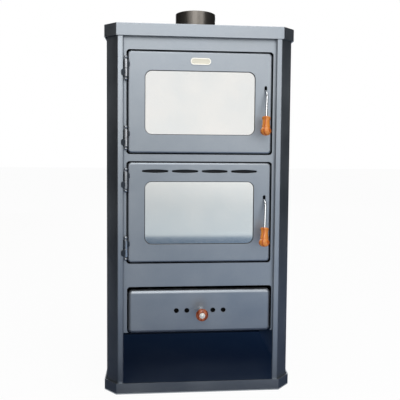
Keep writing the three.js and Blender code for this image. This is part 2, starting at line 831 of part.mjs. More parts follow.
function addSeal(prefix, door) {
  const outerInset = doorSkin + seat;
  const innerInset = outerInset + sealSize;
  const soft = sealSize * 0.28; // rounded corners of the rope
  const section = ring(
    doorOutline(doorWidth, doorHeight, doorCornerRadius, outerInset),
    doorOutline(doorWidth, doorHeight, doorCornerRadius, innerInset, THREE.Path),
  );
  const geometry = new THREE.ExtrudeGeometry(section, {
    depth: sealSize - 2 * soft, bevelEnabled: true, bevelThickness: soft, bevelSize: soft,
    bevelOffset: -soft, bevelSegments: 1, curveSegments: arcSteps,
  });
  geometry.rotateX(Math.PI / 2);
  geometry.translate(0, landingFront - seat - soft, 0);
  part(`${prefix}_door_seal`, solid(geometry), rope, door);
}

function addBadge(door) {
  const plate = cut(
    frontPrism(
      roundedRect(badgeWidth, badgeHeight, badgeRadius),
      doorFace - seat - badgeThickness, doorFace - seat,
    ),
    frontPrism(
      roundedRect(badgeWidth - 2 * badgeRim, badgeHeight - 2 * badgeRim, badgeRadius - badgeRim),
      doorFace - seat - badgeThickness - 1, doorFace - seat - badgeThickness + 0.6,
    ),
  );
  part('oven_badge', plate, badgeMetal, door).position.z = badgeRise;
}

// ---------------------------------------------------------------- latch levers

// Pieces are drawn about the pivot, which lies along X behind the door's skin.
function addLatch(prefix, doorZ, door) {
  const lever = new THREE.Group();
  lever.position.set(leverX, pivotY, doorZ + leverRise);
  stove.add(lever);

  const down = new THREE.Vector3(gripSideways, -gripOutward, -1).normalize();
  const corner = new THREE.Vector3(leverJog, -leverBend, 0);
  const gripTop = corner.clone().addScaledVector(down, -gripDrop / down.z);
  const rodEnd = gripTop.clone().addScaledVector(down, gripBore - 1);
  const bend = 8;
  const bendStart = new THREE.Vector3(leverJog / 2, -leverBend + bend, 0);
  const bendEnd = corner.clone().addScaledVector(down, bend);
  const path = new THREE.CurvePath();
  const slotFront = new THREE.Vector3(0, -pivotBehindFace - 1, 0);
  path.add(new THREE.LineCurve3(new THREE.Vector3(0, 0, 0), slotFront));
  path.add(new THREE.LineCurve3(slotFront, bendStart));
  path.add(new THREE.QuadraticBezierCurve3(bendStart, corner, bendEnd));
  path.add(new THREE.LineCurve3(bendEnd, rodEnd));

  // From the slot inwards: rod, bracket ear, hook.
  const earRight = -handleSlotWidth / 2;
  const earLeft = earRight - bracketSheet;
  const hookRight = earLeft - running;
  const hookLeft = hookRight - hookThickness;
  const [thick, noseTop] = [7, keeperLift - latchGap];
  const hook = polygon([
    [-4, -thick / 2], [hookReach, -thick / 2], [hookReach, noseTop - 2], [hookReach - 2, noseTop],
    [hookReach - hookNose, noseTop], [hookReach - hookNose, thick / 2], [-4, thick / 2],
  ]);
  const body = join(
    roundRod(path, leverDiameter, 16),
    crossRod([hookLeft, leverDiameter / 2], 0, 0, pivotDiameter, 14),
    sidePrism(hook, hookLeft, hookRight),
  );
  part(`${prefix}_latch_lever`, body, brightSteel, lever);

  const [collar, neck, ball] = [gripCollarDiameter / 2, gripNeckDiameter / 2, gripBallDiameter / 2];
  const bore = leverDiameter / 2 + running;
  const end = -gripLength;
  const grip = turned([
    [0, end], [ball * 0.55, end + 1.5], [ball * 0.78, end + 4], [ball * 0.94, end + 7.5],
    [ball, end + 11.5], [ball * 0.97, end + 15], [ball * 0.86, end + 18], [neck * 1.12, end + 20.4],
    [neck * 1.18, end + 23.5], [neck * 1.1, end + 29], [neck, -16], [neck, -12], [neck * 1.1, -7],
    [collar, -5], [collar, -2], [collar * 0.9, -0.5], [collar * 0.77, 0],
    [bore, 0], [bore, -gripBore], [0, -gripBore],
  ], 14);
  const gripPiece = part(`${prefix}_handle_grip`, grip, wood, lever);
  gripPiece.position.copy(gripTop);
  gripPiece.quaternion.setFromUnitVectors(new THREE.Vector3(0, 0, -1), down);

  const base = skinRear + seat - pivotY;
  const ear = new THREE.Shape();
  ear.moveTo(base, -10);
  ear.lineTo(0, -7);
  ear.absarc(0, 0, 7, -Math.PI / 2, Math.PI / 2);
  ear.lineTo(base, 10);
  ear.holes.push(roundOutline(0, 0, pivotDiameter + 2 * running, 16));
  const bracket = join(
    sidePrism(ear, earLeft, earRight),
    block([hookLeft, earRight], [base, base + 2], [-14, -8]),
    block([hookLeft, earRight], [base, base + 2], [8, 14]),
    block([earLeft, earRight], [base, base + 2], [-14, 14]),
  );
  part(`${prefix}_latch_bracket`, bracket, innerSteel, door).position.set(leverX, pivotY, leverRise);
}

function addDoor(prefix, z, extras) {
  const door = new THREE.Group();
  door.position.z = z;
  stove.add(door);
  part(`${prefix}_door`, doorPanel(extras.airSlots), stovePaint, door);
  addGlazing(prefix, door);
  addSeal(prefix, door);
  if (extras.badge) {
    addBadge(door);
  }
  addHinge(`${prefix}_upper_hinge`, door, z, upperHingeRise);
  addHinge(`${prefix}_lower_hinge`, door, z, lowerHingeRise);
  addLatch(prefix, z, door);
}

// ---------------------------------------------------------------- ash drawer

const drawerBottom = nicheHeight - drawerLap;
const drawerHeight = drawerOpeningTop - drawerTopGap - drawerBottom;
const airHoleZ = drawerBottom + airHoleRise;

function airHoles(front, rear) {
  const places = [-innerAirHole - airHolePitch, -innerAirHole, innerAirHole, innerAirHole + airHolePitch];
  return places.map((x) => (
    frontPrism(roundOutline(x, airHoleZ, airHoleDiameter, 16, THREE.Shape), front, rear)
  ));
}

function addDrawer() {
  const middle = drawerBottom + drawerHeight / 2;
  const outline = (by) => movedShape(
    doorOutline(drawerWidth, drawerHeight, drawerCornerRadius, by), 0, middle,
  );
  const skinBack = drawerFace + doorSkin;
  const stemSlot = movedShape(
    roundedRect(slideTravel + stemDiameter + 2 * running, stemDiameter + 2 * running, stemDiameter / 2),
    knobOffset - slideTravel / 2, airHoleZ,
  );
  const front = cut(
    pressedPanel(outline(0), drawerEdgeRadius, drawerFace, drawerRear),
    pressedPanel(outline(doorSkin), drawerEdgeRadius - doorSkin, skinBack, drawerRear + 1),
    frontPrism(stemSlot, drawerFace - 1, skinBack + 1),
    ...airHoles(drawerFace - 1, skinBack + 1),
  );
  part('drawer_front', front, stovePaint).position.x = drawerMiddle;

  const half = panWidth / 2;
  const floor = nicheHeight + channelSheet + 2 * seat;
  const panFront = drawerRear + seat;
  const pan = cut(
    block([-half, half], [panFront, panFront + panLength], [floor, floor + panHeight]),
    block(
      [-half + panSheet, half - panSheet], [panFront + panSheet, panFront + panLength - panSheet],
      [floor + panSheet, floor + panHeight + 1],
    ),
  );
  part('ash_pan', pan, zincSteel).position.x = drawerMiddle;

  // A channel behind the drawer front that holds the air slide against it.
  const slideBack = skinBack + running + slideSheet + running;
  const guideHalf = slideWidth / 2 + slideTravel / 2 + slideEnd;
  const rail = 6;
  const guide = cut(
    block(
      [-slideTravel / 2 - guideHalf, guideHalf - slideTravel / 2], [skinBack + seat, slideBack + panSheet],
      [airHoleZ - slideHeight / 2 - running - rail, airHoleZ + slideHeight / 2 + running + rail],
    ),
    block(
      [-guideHalf - slideTravel, guideHalf + slideTravel], [skinBack, slideBack],
      [airHoleZ - slideHeight / 2 - running, airHoleZ + slideHeight / 2 + running],
    ),
    ...airHoles(skinBack, slideBack + panSheet + 1),
  );
  part('air_slide_guide', guide, zincSteel).position.x = drawerMiddle;
}

function addAirSlide() {
  const skinBack = drawerFace + doorSkin;
  const plateFront = skinBack + running;
  const knobBack = drawerFace - knobStandOff;
  const half = slideWidth / 2;
  const sleeve = plateFront + 1 - drawerFace + seat;
  const stemLength = plateFront + 1 - knobBack;
  const stem = turnedToFront([
    [0, 0], [stemDiameter / 2, 0], [stemDiameter / 2, sleeve], [sleeveDiameter / 2, sleeve],
    [sleeveDiameter / 2, stemLength], [0, stemLength],
  ], 16).translate(knobOffset, plateFront + 1, airHoleZ);
  const slide = join(
    cut(
      block([-half, half], [plateFront, plateFront + slideSheet],
        [airHoleZ - slideHeight / 2, airHoleZ + slideHeight / 2]),
      ...airHoles(plateFront - 1, plateFront + slideSheet + 1),
    ),
    stem,
  );
  part('air_slide', slide, brightSteel).position.x = drawerMiddle;

  const radius = knobDiameter / 2;
  const bore = knobScrewDiameter / 2 + running;
  const knob = turnedToFront([
    [bore, 0], [radius * 0.5, 0], [radius * 0.55, 1.5], [radius * 0.62, 4], [radius * 0.8, 7.5],
    [radius * 0.95, 11], [radius, 14.5], [radius * 0.97, 18], [radius * 0.86, 21],
    [radius * 0.62, 23.2], [radius * 0.4, knobLength], [bore, knobLength], [bore, 0],
  ], 18);
  const knobX = drawerMiddle + knobOffset;
  part('knob', knob, wood).position.set(knobX, knobBack - seat, airHoleZ);

  const headBack = knobBack - 2 * seat - knobLength;
  const shank = knobLength + seat;
  const screw = turnedToFront([
    [0, 0], [knobScrewDiameter / 2, 0], [knobScrewDiameter / 2, shank], [knobScrewHead / 2, shank],
    [knobScrewHead / 2, shank + knobScrewHeadHeight * 0.6],
    [knobScrewHead * 0.35, shank + knobScrewHeadHeight], [0, shank + knobScrewHeadHeight],
  ], 16);
  part('knob_screw', screw, brightSteel).position.set(knobX, headBack + knobLength + seat, airHoleZ);
}

// ---------------------------------------------------------------- assembly

addPlinth();
addSidePanels();
addBackPanel();
addTopPlate();
addFlueCollar();
addFrontPlate();
addAshChannel();
addDrawerGuides();
addFireboxCasing();
addFirebricks();
addFireGrate();
addLogGuard();
addBaffle();
addOvenBox();
addOvenRack();
addKeeper('oven_keeper', ovenZ, landingHalf - seat);
addKeeper('firebox_keeper', fireboxZ, landingHalf + 8);
addDoor('oven', ovenZ, { airSlots: false, badge: true });
addDoor('firebox', fireboxZ, { airSlots: true, badge: false });
addDrawer();
addAirSlide();

export default stove;
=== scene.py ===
import json
import math

import bmesh
import bpy
from mathutils import Matrix, Vector

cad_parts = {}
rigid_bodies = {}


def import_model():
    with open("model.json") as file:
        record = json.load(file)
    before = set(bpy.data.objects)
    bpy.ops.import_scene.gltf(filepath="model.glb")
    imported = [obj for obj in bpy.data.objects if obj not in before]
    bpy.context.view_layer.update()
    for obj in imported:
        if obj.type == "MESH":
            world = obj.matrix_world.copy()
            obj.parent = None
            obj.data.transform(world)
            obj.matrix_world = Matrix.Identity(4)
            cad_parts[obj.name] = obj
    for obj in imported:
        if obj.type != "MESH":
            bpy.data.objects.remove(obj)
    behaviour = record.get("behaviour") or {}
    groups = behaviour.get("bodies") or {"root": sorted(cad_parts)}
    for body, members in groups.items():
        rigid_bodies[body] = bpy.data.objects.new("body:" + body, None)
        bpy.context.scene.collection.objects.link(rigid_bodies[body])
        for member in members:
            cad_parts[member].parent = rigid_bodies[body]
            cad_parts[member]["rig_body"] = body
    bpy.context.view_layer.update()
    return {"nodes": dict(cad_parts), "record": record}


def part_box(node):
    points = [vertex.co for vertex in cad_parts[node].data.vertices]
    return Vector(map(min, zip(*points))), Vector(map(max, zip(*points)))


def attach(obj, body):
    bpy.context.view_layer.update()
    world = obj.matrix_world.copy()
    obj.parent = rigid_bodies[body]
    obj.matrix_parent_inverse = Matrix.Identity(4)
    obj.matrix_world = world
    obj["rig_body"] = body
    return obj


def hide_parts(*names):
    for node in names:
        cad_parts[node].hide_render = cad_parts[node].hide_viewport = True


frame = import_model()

# Wood-burning cookstove: painted sheet-steel body, two glazed doors, ash drawer, log niche.
# Sizes below are in millimetres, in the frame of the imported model: front faces -Y, floor at Z 0.

nodes = frame["nodes"]
mm = 0.001


# ---- small helpers for working by hand in edit mode

def leaveEdit():
    bpy.ops.object.mode_set(mode="OBJECT")


def tidySelection():
    if bpy.context.object and bpy.context.object.mode != "OBJECT":
        leaveEdit()
    bpy.ops.object.select_all(action="DESELECT")


def only(piece):
    tidySelection()
    piece.select_set(True)
    bpy.context.view_layer.objects.active = piece
    return piece


def limits(node):  # a CAD node's corners, in millimetres
    low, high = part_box(node)
    return [v / mm for v in low], [v / mm for v in high]


def placed(name):
    bpy.ops.object.transform_apply(location=True, rotation=True, scale=True)
    bpy.context.object.name = name
    return bpy.context.object


def startBlock(name, low, high):
    tidySelection()
    middle = [(a + b) / 2 * mm for a, b in zip(low, high)]
    size = [(b - a) * mm for a, b in zip(low, high)]
    bpy.ops.mesh.primitive_cube_add(size=1, location=middle, scale=size)
    return placed(name)


def edit(piece):
    only(piece)
    bpy.ops.object.mode_set(mode="EDIT")
    bpy.ops.mesh.select_all(action="DESELECT")


def startPicking(piece, mode):
    edit(piece)
    bpy.ops.mesh.select_mode(type=mode)
    return bmesh.from_edit_mesh(piece.data)


def pickEdges(piece, test):  # test gets both ends in millimetres
    mesh = startPicking(piece, "EDGE")
    for edge in mesh.edges:
        if test(*(v.co / mm for v in edge.verts)):
            edge.select = True
    bmesh.update_edit_mesh(piece.data)


def pickFaces(piece, test):  # test gets the face's normal
    mesh = startPicking(piece, "FACE")
    for face in mesh.faces:
        if test(face.normal):
            face.select = True
    bmesh.update_edit_mesh(piece.data)


def pickPoints(piece, test):  # test gets the point in millimetres
    mesh = startPicking(piece, "VERT")
    for point in mesh.verts:
        point.select = bool(test(point.co / mm))
    mesh.select_flush(True)
    bmesh.update_edit_mesh(piece.data)


def faceOutward(piece):
    edit(piece)
    bpy.ops.mesh.select_all(action="SELECT")
    bpy.ops.mesh.normals_make_consistent(inside=False)
    leaveEdit()


def roundPicked(width, steps):
    bpy.ops.mesh.bevel(offset=width * mm, segments=steps, profile=0.5, affect="EDGES", clamp_overlap=False)
    leaveEdit()


def modify(piece, kind, **settings):
    only(piece)
    bpy.ops.object.modifier_add(type=kind)
    modifier = piece.modifiers[-1]
    for key, value in settings.items():
        setattr(modifier, key, value)
    bpy.ops.object.modifier_apply(modifier=modifier.name)
    return piece


def joined(name, *pieces):
    only(pieces[0])
    for piece in pieces:
        piece.select_set(True)
    bpy.ops.object.join()
    pieces[0].name = name
    return pieces[0]


def cutAway(piece, *tools):
    tool = joined("cutTool", *tools) if len(tools) > 1 else tools[0]
    modify(piece, "BOOLEAN", operation="DIFFERENCE", object=tool, solver="EXACT")
    bpy.data.objects.remove(tool)
    return piece


def near(a, b, slack=0.05):
    return abs(a - b) < slack


def upright(a, b):
    return near(a.x, b.x) and near(a.y, b.y)


# A slab facing the front with rounded corners, as cut from sheet.
def frontSlab(name, xs, ys, zs, radius, steps=10):
    slab = startBlock(name, (xs[0], ys[0], zs[0]), (xs[1], ys[1], zs[1]))
    pickEdges(slab, lambda a, b: abs(a.y - b.y) > 0.5)
    roundPicked(radius, steps)
    return slab


# Edges are softened as a press or a file leaves them, then flat faces get flat shading.
def soften(piece, width=0.5, steps=2, angle=40, smooth=32):
    if width:
        modify(piece, "BEVEL", width=width * mm, segments=steps, limit_method="ANGLE",
               angle_limit=math.radians(angle), use_clamp_overlap=True)
    only(piece)
    bpy.ops.object.shade_smooth_by_angle(angle=math.radians(smooth))
    modify(piece, "WEIGHTED_NORMAL", keep_sharp=True, weight=80)
    return piece


# A turned piece about Z: rings of [radius, height] from bottom to top, closed at both ends
# where the radius is small, and open like a tube where closed is False.
def turned(name, rings, sides=48, closed=True, centre=(0, 0, 0)):
    tidySelection()
    radius, height = rings[0]
    where = [centre[0] * mm, centre[1] * mm, (centre[2] + height) * mm]
    bpy.ops.mesh.primitive_circle_add(vertices=sides, radius=radius * mm, location=where,
                                      fill_type="NGON" if closed else "NOTHING")
    piece = placed(name)
    bpy.ops.object.mode_set(mode="EDIT")
    bpy.ops.mesh.select_all(action="SELECT")
    extrude = bpy.ops.mesh.extrude_region_move if closed else bpy.ops.mesh.extrude_edges_move
    for (r0, z0), (r1, z1) in zip(rings, rings[1:]):
        extrude(TRANSFORM_OT_translate={"value": (0, 0, (z1 - z0) * mm)})
        grow = r1 / r0
        bpy.ops.transform.resize(value=(grow, grow, 1), orient_type="GLOBAL",
                                 center_override=[centre[0] * mm, centre[1] * mm, 0])
    bpy.ops.mesh.select_all(action="SELECT")
    bpy.ops.mesh.remove_doubles(threshold=1e-6)
    bpy.ops.mesh.normals_make_consistent(inside=False)
    leaveEdit()
    return piece


def turnTo(piece, direction, place=(0, 0, 0)):  # its own +Z goes to the direction, then it moves
    only(piece)
    piece.rotation_euler = Vector((0, 0, 1)).rotation_difference(Vector(direction)).to_euler()
    piece.location = [v * mm for v in place]
    bpy.ops.object.transform_apply(location=True, rotation=True, scale=True)
    return piece


# A turned part stood in its place with its ends along a direction, smooth up to an angle.
def turnedPart(name, rings, sides, direction, place, smooth, closed=True):
    part = turned(name, rings, sides, closed)
    turnTo(part, direction, place)
    return soften(part, 0, smooth=smooth)


def duplicateMoved(piece, name, shift=(0, 0, 0), mirrored=False):
    only(piece)
    bpy.ops.object.duplicate(linked=False)
    copy = bpy.context.object
    copy.name = name
    copy.location = [v * mm for v in shift]
    if mirrored:
        copy.scale = (-1, 1, 1)
    bpy.ops.object.transform_apply(location=True, rotation=True, scale=True)
    if mirrored:
        faceOutward(copy)
    return copy


# A round wire along a line of points in millimetres, closed as a ring or capped at both ends.
def wireTube(name, points, radius, resolution, ring):
    tidySelection()
    bpy.ops.curve.primitive_nurbs_path_add(location=(0, 0, 0))
    path = bpy.context.object
    path.data.splines.clear()
    spline = path.data.splines.new("POLY")
    spline.points.add(len(points) - 1)
    for point, place in zip(spline.points, points):
        point.co = (*[v * mm for v in place], 1)
    spline.use_cyclic_u = ring
    path.data.dimensions = "3D"
    path.data.bevel_depth = radius * mm
    path.data.bevel_resolution = resolution
    path.data.use_fill_caps = not ring
    bpy.ops.object.convert(target="MESH")
    tube = bpy.context.object
    tube.name = name
    return tube


# ---- camera

cameraView = {
    "place": (-106.68, -1694.94, 722.92),
    "yaw": 4.818,
    "down": 3.124,
    "roll": 0.522,
    "focalPixels": 523.33,
    "middlePixel": (206.22, 169.10),
    "frame": 400,
}


def setCamera():
    view = cameraView
    yaw, down, roll = (math.radians(view[k]) for k in ("yaw", "down", "roll"))
    forward = Vector((math.sin(yaw) * math.cos(down), math.cos(yaw) * math.cos(down), -math.sin(down)))
    level = Vector((math.cos(yaw), -math.sin(yaw), 0))
    upright = level.cross(forward)
    right = math.cos(roll) * level + math.sin(roll) * upright
    up = -math.sin(roll) * level + math.cos(roll) * upright
    data = bpy.data.cameras.new("photoCamera")
    data.sensor_width = 36
    data.lens = 36 * view["focalPixels"] / view["frame"]
    half = view["frame"] / 2
    data.shift_x = (half - view["middlePixel"][0]) / view["frame"]
    data.shift_y = (view["middlePixel"][1] - half) / view["frame"]
    data.clip_start = 0.05
    data.clip_end = 60
    camera = bpy.data.objects.new("photoCamera", data)
    bpy.context.scene.collection.objects.link(camera)
    camera.matrix_world = Matrix((
        (right.x, up.x, -forward.x, view["place"][0] * mm),
        (right.y, up.y, -forward.y, view["place"][1] * mm),
        (right.z, up.z, -forward.z, view["place"][2] * mm),
        (0, 0, 0, 1),
    ))
    bpy.context.scene.camera = camera


setCamera()
print("camera set")


# ---- materials

def colour(hexText):  # sRGB hex to linear
    values = [int(hexText[i:i + 2], 16) / 255 for i in (1, 3, 5)]
    return [v / 12.92 if v <= 0.04045 else ((v + 0.055) / 1.055) ** 2.4 for v in values] + [1]


def addNode(tree, kind, settings=None, **links):
    node = tree.nodes.new("ShaderNode" + kind)
    for key, value in (settings or {}).items():
        if isinstance(key, int) or key in node.inputs:
            node.inputs[key].default_value = value
        else:
            setattr(node, key, value)
    for key, source in links.items():
        socket = node.inputs[int(key[1:])] if key[1:].isdigit() else node.inputs[key.replace("_", " ")]
        tree.links.new(source, socket)
    return node


def newMaterial(name):
    material = bpy.data.materials.new(name)
    material.use_nodes = True
    material.node_tree.nodes.clear()
    return material, material.node_tree


def shownBy(material, shader):
    addNode(material.node_tree, "OutputMaterial", Surface=shader.outputs[0])
    return material


def ramp(tree, source, stops):  # stops are (position, sRGB hex)
    node = addNode(tree, "ValToRGB", Fac=source)
    while len(node.color_ramp.elements) < len(stops):
        node.color_ramp.elements.new(0.5)
    for element, (position, hexText) in zip(node.color_ramp.elements, stops):
        element.position = position
        element.color = colour(hexText)
    return node.outputs["Color"]


# Stove enamel paint: silicone paint with aluminium flake, sprayed on folded steel and baked.
# It gives a satin grey-blue sheen with a fine orange-peel grain, and goes dark where nothing bright
# stands opposite. The grain is about 0.8 mm, drawn at 1.6 mm so that it shows.
stovePaintLook = {"dark": "#8c939a", "light": "#9da2a7", "metallic": 0.94, "roughness": 0.45,
                  "grainMm": 1.6, "cloudMm": 140, "bump": 0.15}


def makeStovePaint():
    look = stovePaintLook
    material, tree = newMaterial("bakedStovePaint")
    place = addNode(tree, "TexCoord").outputs["Object"]
    clouds = addNode(tree, "TexNoise", {"Scale": 1000 / look["cloudMm"], "Detail": 4.0,
                     "Roughness": 0.55}, Vector=place)
    grain = addNode(tree, "TexNoise", {"Scale": 1000 / look["grainMm"], "Detail": 2.0,
                    "Roughness": 0.6}, Vector=place)
    mixed = addNode(tree, "Math", {"operation": "MULTIPLY_ADD", 1: 0.35},
                    i0=grain.outputs["Fac"], i2=clouds.outputs["Fac"])
    base = ramp(tree, mixed.outputs[0], [(0.42, look["dark"]), (0.92, look["light"])])
    gloss = addNode(tree, "MapRange", {"From Min": 0.3, "From Max": 0.7,
                    "To Min": look["roughness"] - 0.03, "To Max": look["roughness"] + 0.05},
                    Value=clouds.outputs["Fac"])
    bump = addNode(tree, "Bump", {"Strength": look["bump"], "Distance": 0.0004},
                   Height=grain.outputs["Fac"])
    shader = addNode(tree, "BsdfPrincipled", {"Metallic": look["metallic"]}, Base_Color=base,
                     Roughness=gloss.outputs[0], Normal=bump.outputs[0])
    return shownBy(material, shader)


# A sheet, bar or casting: fine grain and broad patches in colour, gloss and relief.
def makePlainMetal(name, dark, light, metallic, roughness, grainMm, bump, stretch=(1, 1, 1)):
    material, tree = newMaterial(name)
    place = addNode(tree, "TexCoord").outputs["Object"]
    scaled = addNode(tree, "Mapping", {"Scale": stretch}, Vector=place).outputs[0]
    grain = addNode(tree, "TexNoise", {"Scale": 1000 / grainMm, "Detail": 4.0,
                    "Roughness": 0.6}, Vector=scaled)
    broad = addNode(tree, "TexNoise", {"Scale": 12.0, "Detail": 3.0}, Vector=place)
    mixed = addNode(tree, "Math", {"operation": "MULTIPLY_ADD", 1: 0.5},
                    i0=grain.outputs["Fac"], i2=broad.outputs["Fac"])
    base = ramp(tree, mixed.outputs[0], [(0.5, dark), (1.0, light)])
    gloss = addNode(tree, "MapRange", {"From Min": 0.3, "From Max": 0.7,
                    "To Min": roughness * 0.85, "To Max": min(1, roughness * 1.2)},
                    Value=grain.outputs["Fac"])
    raised = addNode(tree, "Bump", {"Strength": bump, "Distance": 0.0005},
                     Height=grain.outputs["Fac"])
    shader = addNode(tree, "BsdfPrincipled", {"Metallic": metallic}, Base_Color=base,
                     Roughness=gloss.outputs[0], Normal=raised.outputs[0])
    return shownBy(material, shader)


stovePaint = makeStovePaint()
# Weld-on hinges: turned steel, polished on the barrel; their tabs are dark grey steel.
hingeSteel = makePlainMetal("turnedHingeSteel", "#8d9094", "#a2a5a9", 0.97, 0.17, 1.6, 0.03)
tabSteel = makePlainMetal("darkGreyTabSteel", "#262b31", "#343a41", 0.8, 0.42, 2.2, 0.1)
# Flue collar: black heat-proof paint, smooth and glossy, so one bright stripe runs down it.
fluePaint = makePlainMetal("blackFluePaint", "#66625d", "#75706a", 0.82, 0.3, 2.5, 0.05)
# Inner sheets: mill-scale steel, dull and dark.
innerSteel = makePlainMetal("millScaleSteel", "#1b1d20", "#292c31", 0.6, 0.55, 3.0, 0.2)
# Back panel and niche ceiling: dark slate primer.
nichePrimer = makePlainMetal("blueBlackPrimer", "#232f3e", "#2e3b4c", 0.25, 0.5, 2.0, 0.12)
# Grate and log guard: rough from the sand mould.
castIron = makePlainMetal("sandCastIron", "#1d1e20", "#2c2d30", 0.5, 0.75, 2.0, 0.6)
# Lever rods, rack, sleeve and small screws: polished.
brightSteel = makePlainMetal("polishedSteel", "#c2c5c7", "#d9dbdc", 1.0, 0.16, 1.2, 0.03)
zincSteel = makePlainMetal("zincPlatedSteel", "#8d9295", "#a9aeb1", 0.9, 0.42, 9.0, 0.05)
# Knob screw: dull nickel plating, paler than the polished rods; its pale, half-matt colour also paints the
# head's highlight.
nickelAndHighlight = makePlainMetal("nickelWithPaintedHighlight", "#d9d7d1", "#f1f0ea", 0.45, 0.34, 1.5, 0.05)
# The ash pan, the air slide and its guide are zinc sheet coloured near black: painted shade, so that the
# drawer's air holes look dark inside.
shadeDarkZinc = makePlainMetal("shadeDarkZincSheet", "#151515", "#26272a", 0.5, 0.6, 14.0, 0.12)
# Badge: a polished pale rim round a satin field.
badgeMetal = makePlainMetal("polishedBadgeRim", "#efece1", "#f8f6ee", 0.35, 0.3, 0.8, 0.04, (1, 1, 6))
badgeField = makePlainMetal("satinBadgeField", "#cfcaba", "#dad6c6", 0.35, 0.45, 0.9, 0.15)
# Window gasket: black silicone lip, matt; its black also paints the shaded line round the window's edge.
gasketWithPaintedShade = makePlainMetal("blackLipWithPaintedShade", "#131415", "#1c1d1f", 0.0, 0.55, 1.5, 0.15)


# Fireclay brick: pressed and kiln-fired, matt buff with darker grit of 2 to 4 mm.
def makeFireclay():
    material, tree = newMaterial("firedFireclay")
    place = addNode(tree, "TexCoord").outputs["Object"]
    grit = addNode(tree, "TexVoronoi", {"Scale": 1000 / 4.0}, Vector=place)
    cloud = addNode(tree, "TexNoise", {"Scale": 22.0, "Detail": 6.0}, Vector=place)
    mixed = addNode(tree, "Math", {"operation": "MULTIPLY_ADD", 1: 0.35},
                    i0=grit.outputs["Distance"], i2=cloud.outputs["Fac"])
    base = ramp(tree, mixed.outputs[0], [(0.42, "#a08963"), (0.62, "#c2ab82"), (0.9, "#d3c19c")])
    bump = addNode(tree, "Bump", {"Strength": 0.5, "Distance": 0.0008},
                   Height=mixed.outputs[0])
    shader = addNode(tree, "BsdfPrincipled", {"Roughness": 0.95}, Base_Color=base,
                     Normal=bump.outputs[0])
    return shownBy(material, shader)


# Varnished beech, turned and stained: warm orange-brown, fine dark pores along the grain. The knob's
# wood has darker colours than the grips'.
gripWood = {"dark": "#6e2e08", "middle": "#bd5c17", "light": "#e08a38"}
knobWood = {"dark": "#3f1507", "middle": "#7f3518", "light": "#a85a35"}
woodGrain = {"ringMm": 6.0, "poreMm": 0.9}


def makeWood(name, centre, axis, look):
    material, tree = newMaterial(name)
    place = addNode(tree, "TexCoord").outputs["Object"]
    turn = Vector(axis).rotation_difference(Vector((0, 0, 1))).to_euler()
    moved = addNode(tree, "VectorMath", {"operation": "SUBTRACT", 1: [v * mm for v in centre]},
                    i0=place).outputs[0]
    local = addNode(tree, "Mapping", {"Rotation": turn}, Vector=moved).outputs[0]
    bent = addNode(tree, "TexNoise", {"Scale": 28.0, "Detail": 2.0}, Vector=local)
    long = addNode(tree, "Mapping", {"Scale": (1, 1, 0.12)}, Vector=local).outputs[0]
    rings = addNode(tree, "TexWave", {"wave_type": "BANDS", "bands_direction": "X",
                    "Scale": 1000 / woodGrain["ringMm"] / 6.28, "Distortion": 6.0, "Detail": 3.0,
                    "Detail Scale": 1.2}, Vector=long)
    longer = addNode(tree, "Mapping", {"Scale": (1, 1, 0.06)}, Vector=local).outputs[0]
    pores = addNode(tree, "TexNoise", {"Scale": 1000 / woodGrain["poreMm"], "Detail": 2.0},
                    Vector=longer)
    mixed = addNode(tree, "Math", {"operation": "MULTIPLY_ADD", 1: 0.45},
                    i0=pores.outputs["Fac"], i2=rings.outputs["Fac"])
    spread = addNode(tree, "Math", {"operation": "MULTIPLY_ADD", 1: 0.5},
                     i0=bent.outputs["Fac"], i2=mixed.outputs[0])
    base = ramp(tree, spread.outputs[0],
                [(0.15, look["dark"]), (0.55, look["middle"]), (1.0, look["light"])])
    bump = addNode(tree, "Bump", {"Strength": 0.12, "Distance": 0.0003},
                   Height=pores.outputs["Fac"])
    shader = addNode(tree, "BsdfPrincipled", {"Roughness": 0.5, "Specular IOR Level": 0.25,
                     "Coat Weight": 0.6, "Coat Roughness": 0.1}, Base_Color=base, Normal=bump.outputs[0])
    return shownBy(material, shader)


# Heat-reflecting stove glass: ceramic pane with a metal-oxide mirror coat, so it shows the room
# in front of it and only faintly what is behind.
def makeGlass():
    material, tree = newMaterial("mirrorCoatedStoveGlass")
    place = addNode(tree, "TexCoord").outputs["Object"]
    haze = addNode(tree, "TexNoise", {"Scale": 9.0, "Detail": 3.0}, Vector=place)
    gloss = addNode(tree, "MapRange", {"From Min": 0.3, "From Max": 0.7, "To Min": 0.03,
                    "To Max": 0.06}, Value=haze.outputs["Fac"])
    tint = ramp(tree, haze.outputs["Fac"], [(0.3, "#f2f4f3"), (0.7, "#faf9f6")])
    shader = addNode(tree, "BsdfPrincipled", {"Metallic": 0.86, "IOR": 1.5,
                     "Transmission Weight": 1.0}, Base_Color=tint, Roughness=gloss.outputs[0])
    return shownBy(material, shader)


# Braided glass-fibre rope, grey-black and matt.
ropeLook = {"strandMm": 2.4, "high": "#6a6760", "low": "#2c2a27"}


def makeRope():
    material, tree = newMaterial("braidedGlassFibreRope")
    place = addNode(tree, "TexCoord").outputs["Object"]
    strands = []
    for angle in (45, -45):
        slanted = addNode(tree, "Mapping", {"Rotation": (0, math.radians(angle), 0)},
                          Vector=place).outputs[0]
        wave = addNode(tree, "TexWave", {"bands_direction": "X", "Distortion": 0.6,
                       "Scale": 1000 / ropeLook["strandMm"] / 6.28}, Vector=slanted)
        strands.append(wave.outputs["Fac"])
    braid = addNode(tree, "Math", {"operation": "MAXIMUM"}, i0=strands[0],
                    i1=strands[1]).outputs[0]
    base = ramp(tree, braid, [(0.35, ropeLook["low"]), (1.0, ropeLook["high"])])
    bump = addNode(tree, "Bump", {"Strength": 0.9, "Distance": 0.001}, Height=braid)
    shader = addNode(tree, "BsdfPrincipled", {"Roughness": 0.95}, Base_Color=base,
                     Normal=bump.outputs[0])
    return shownBy(material, shader)


fireclay = makeFireclay()
stoveGlass = makeGlass()
ropeSeal = makeRope()

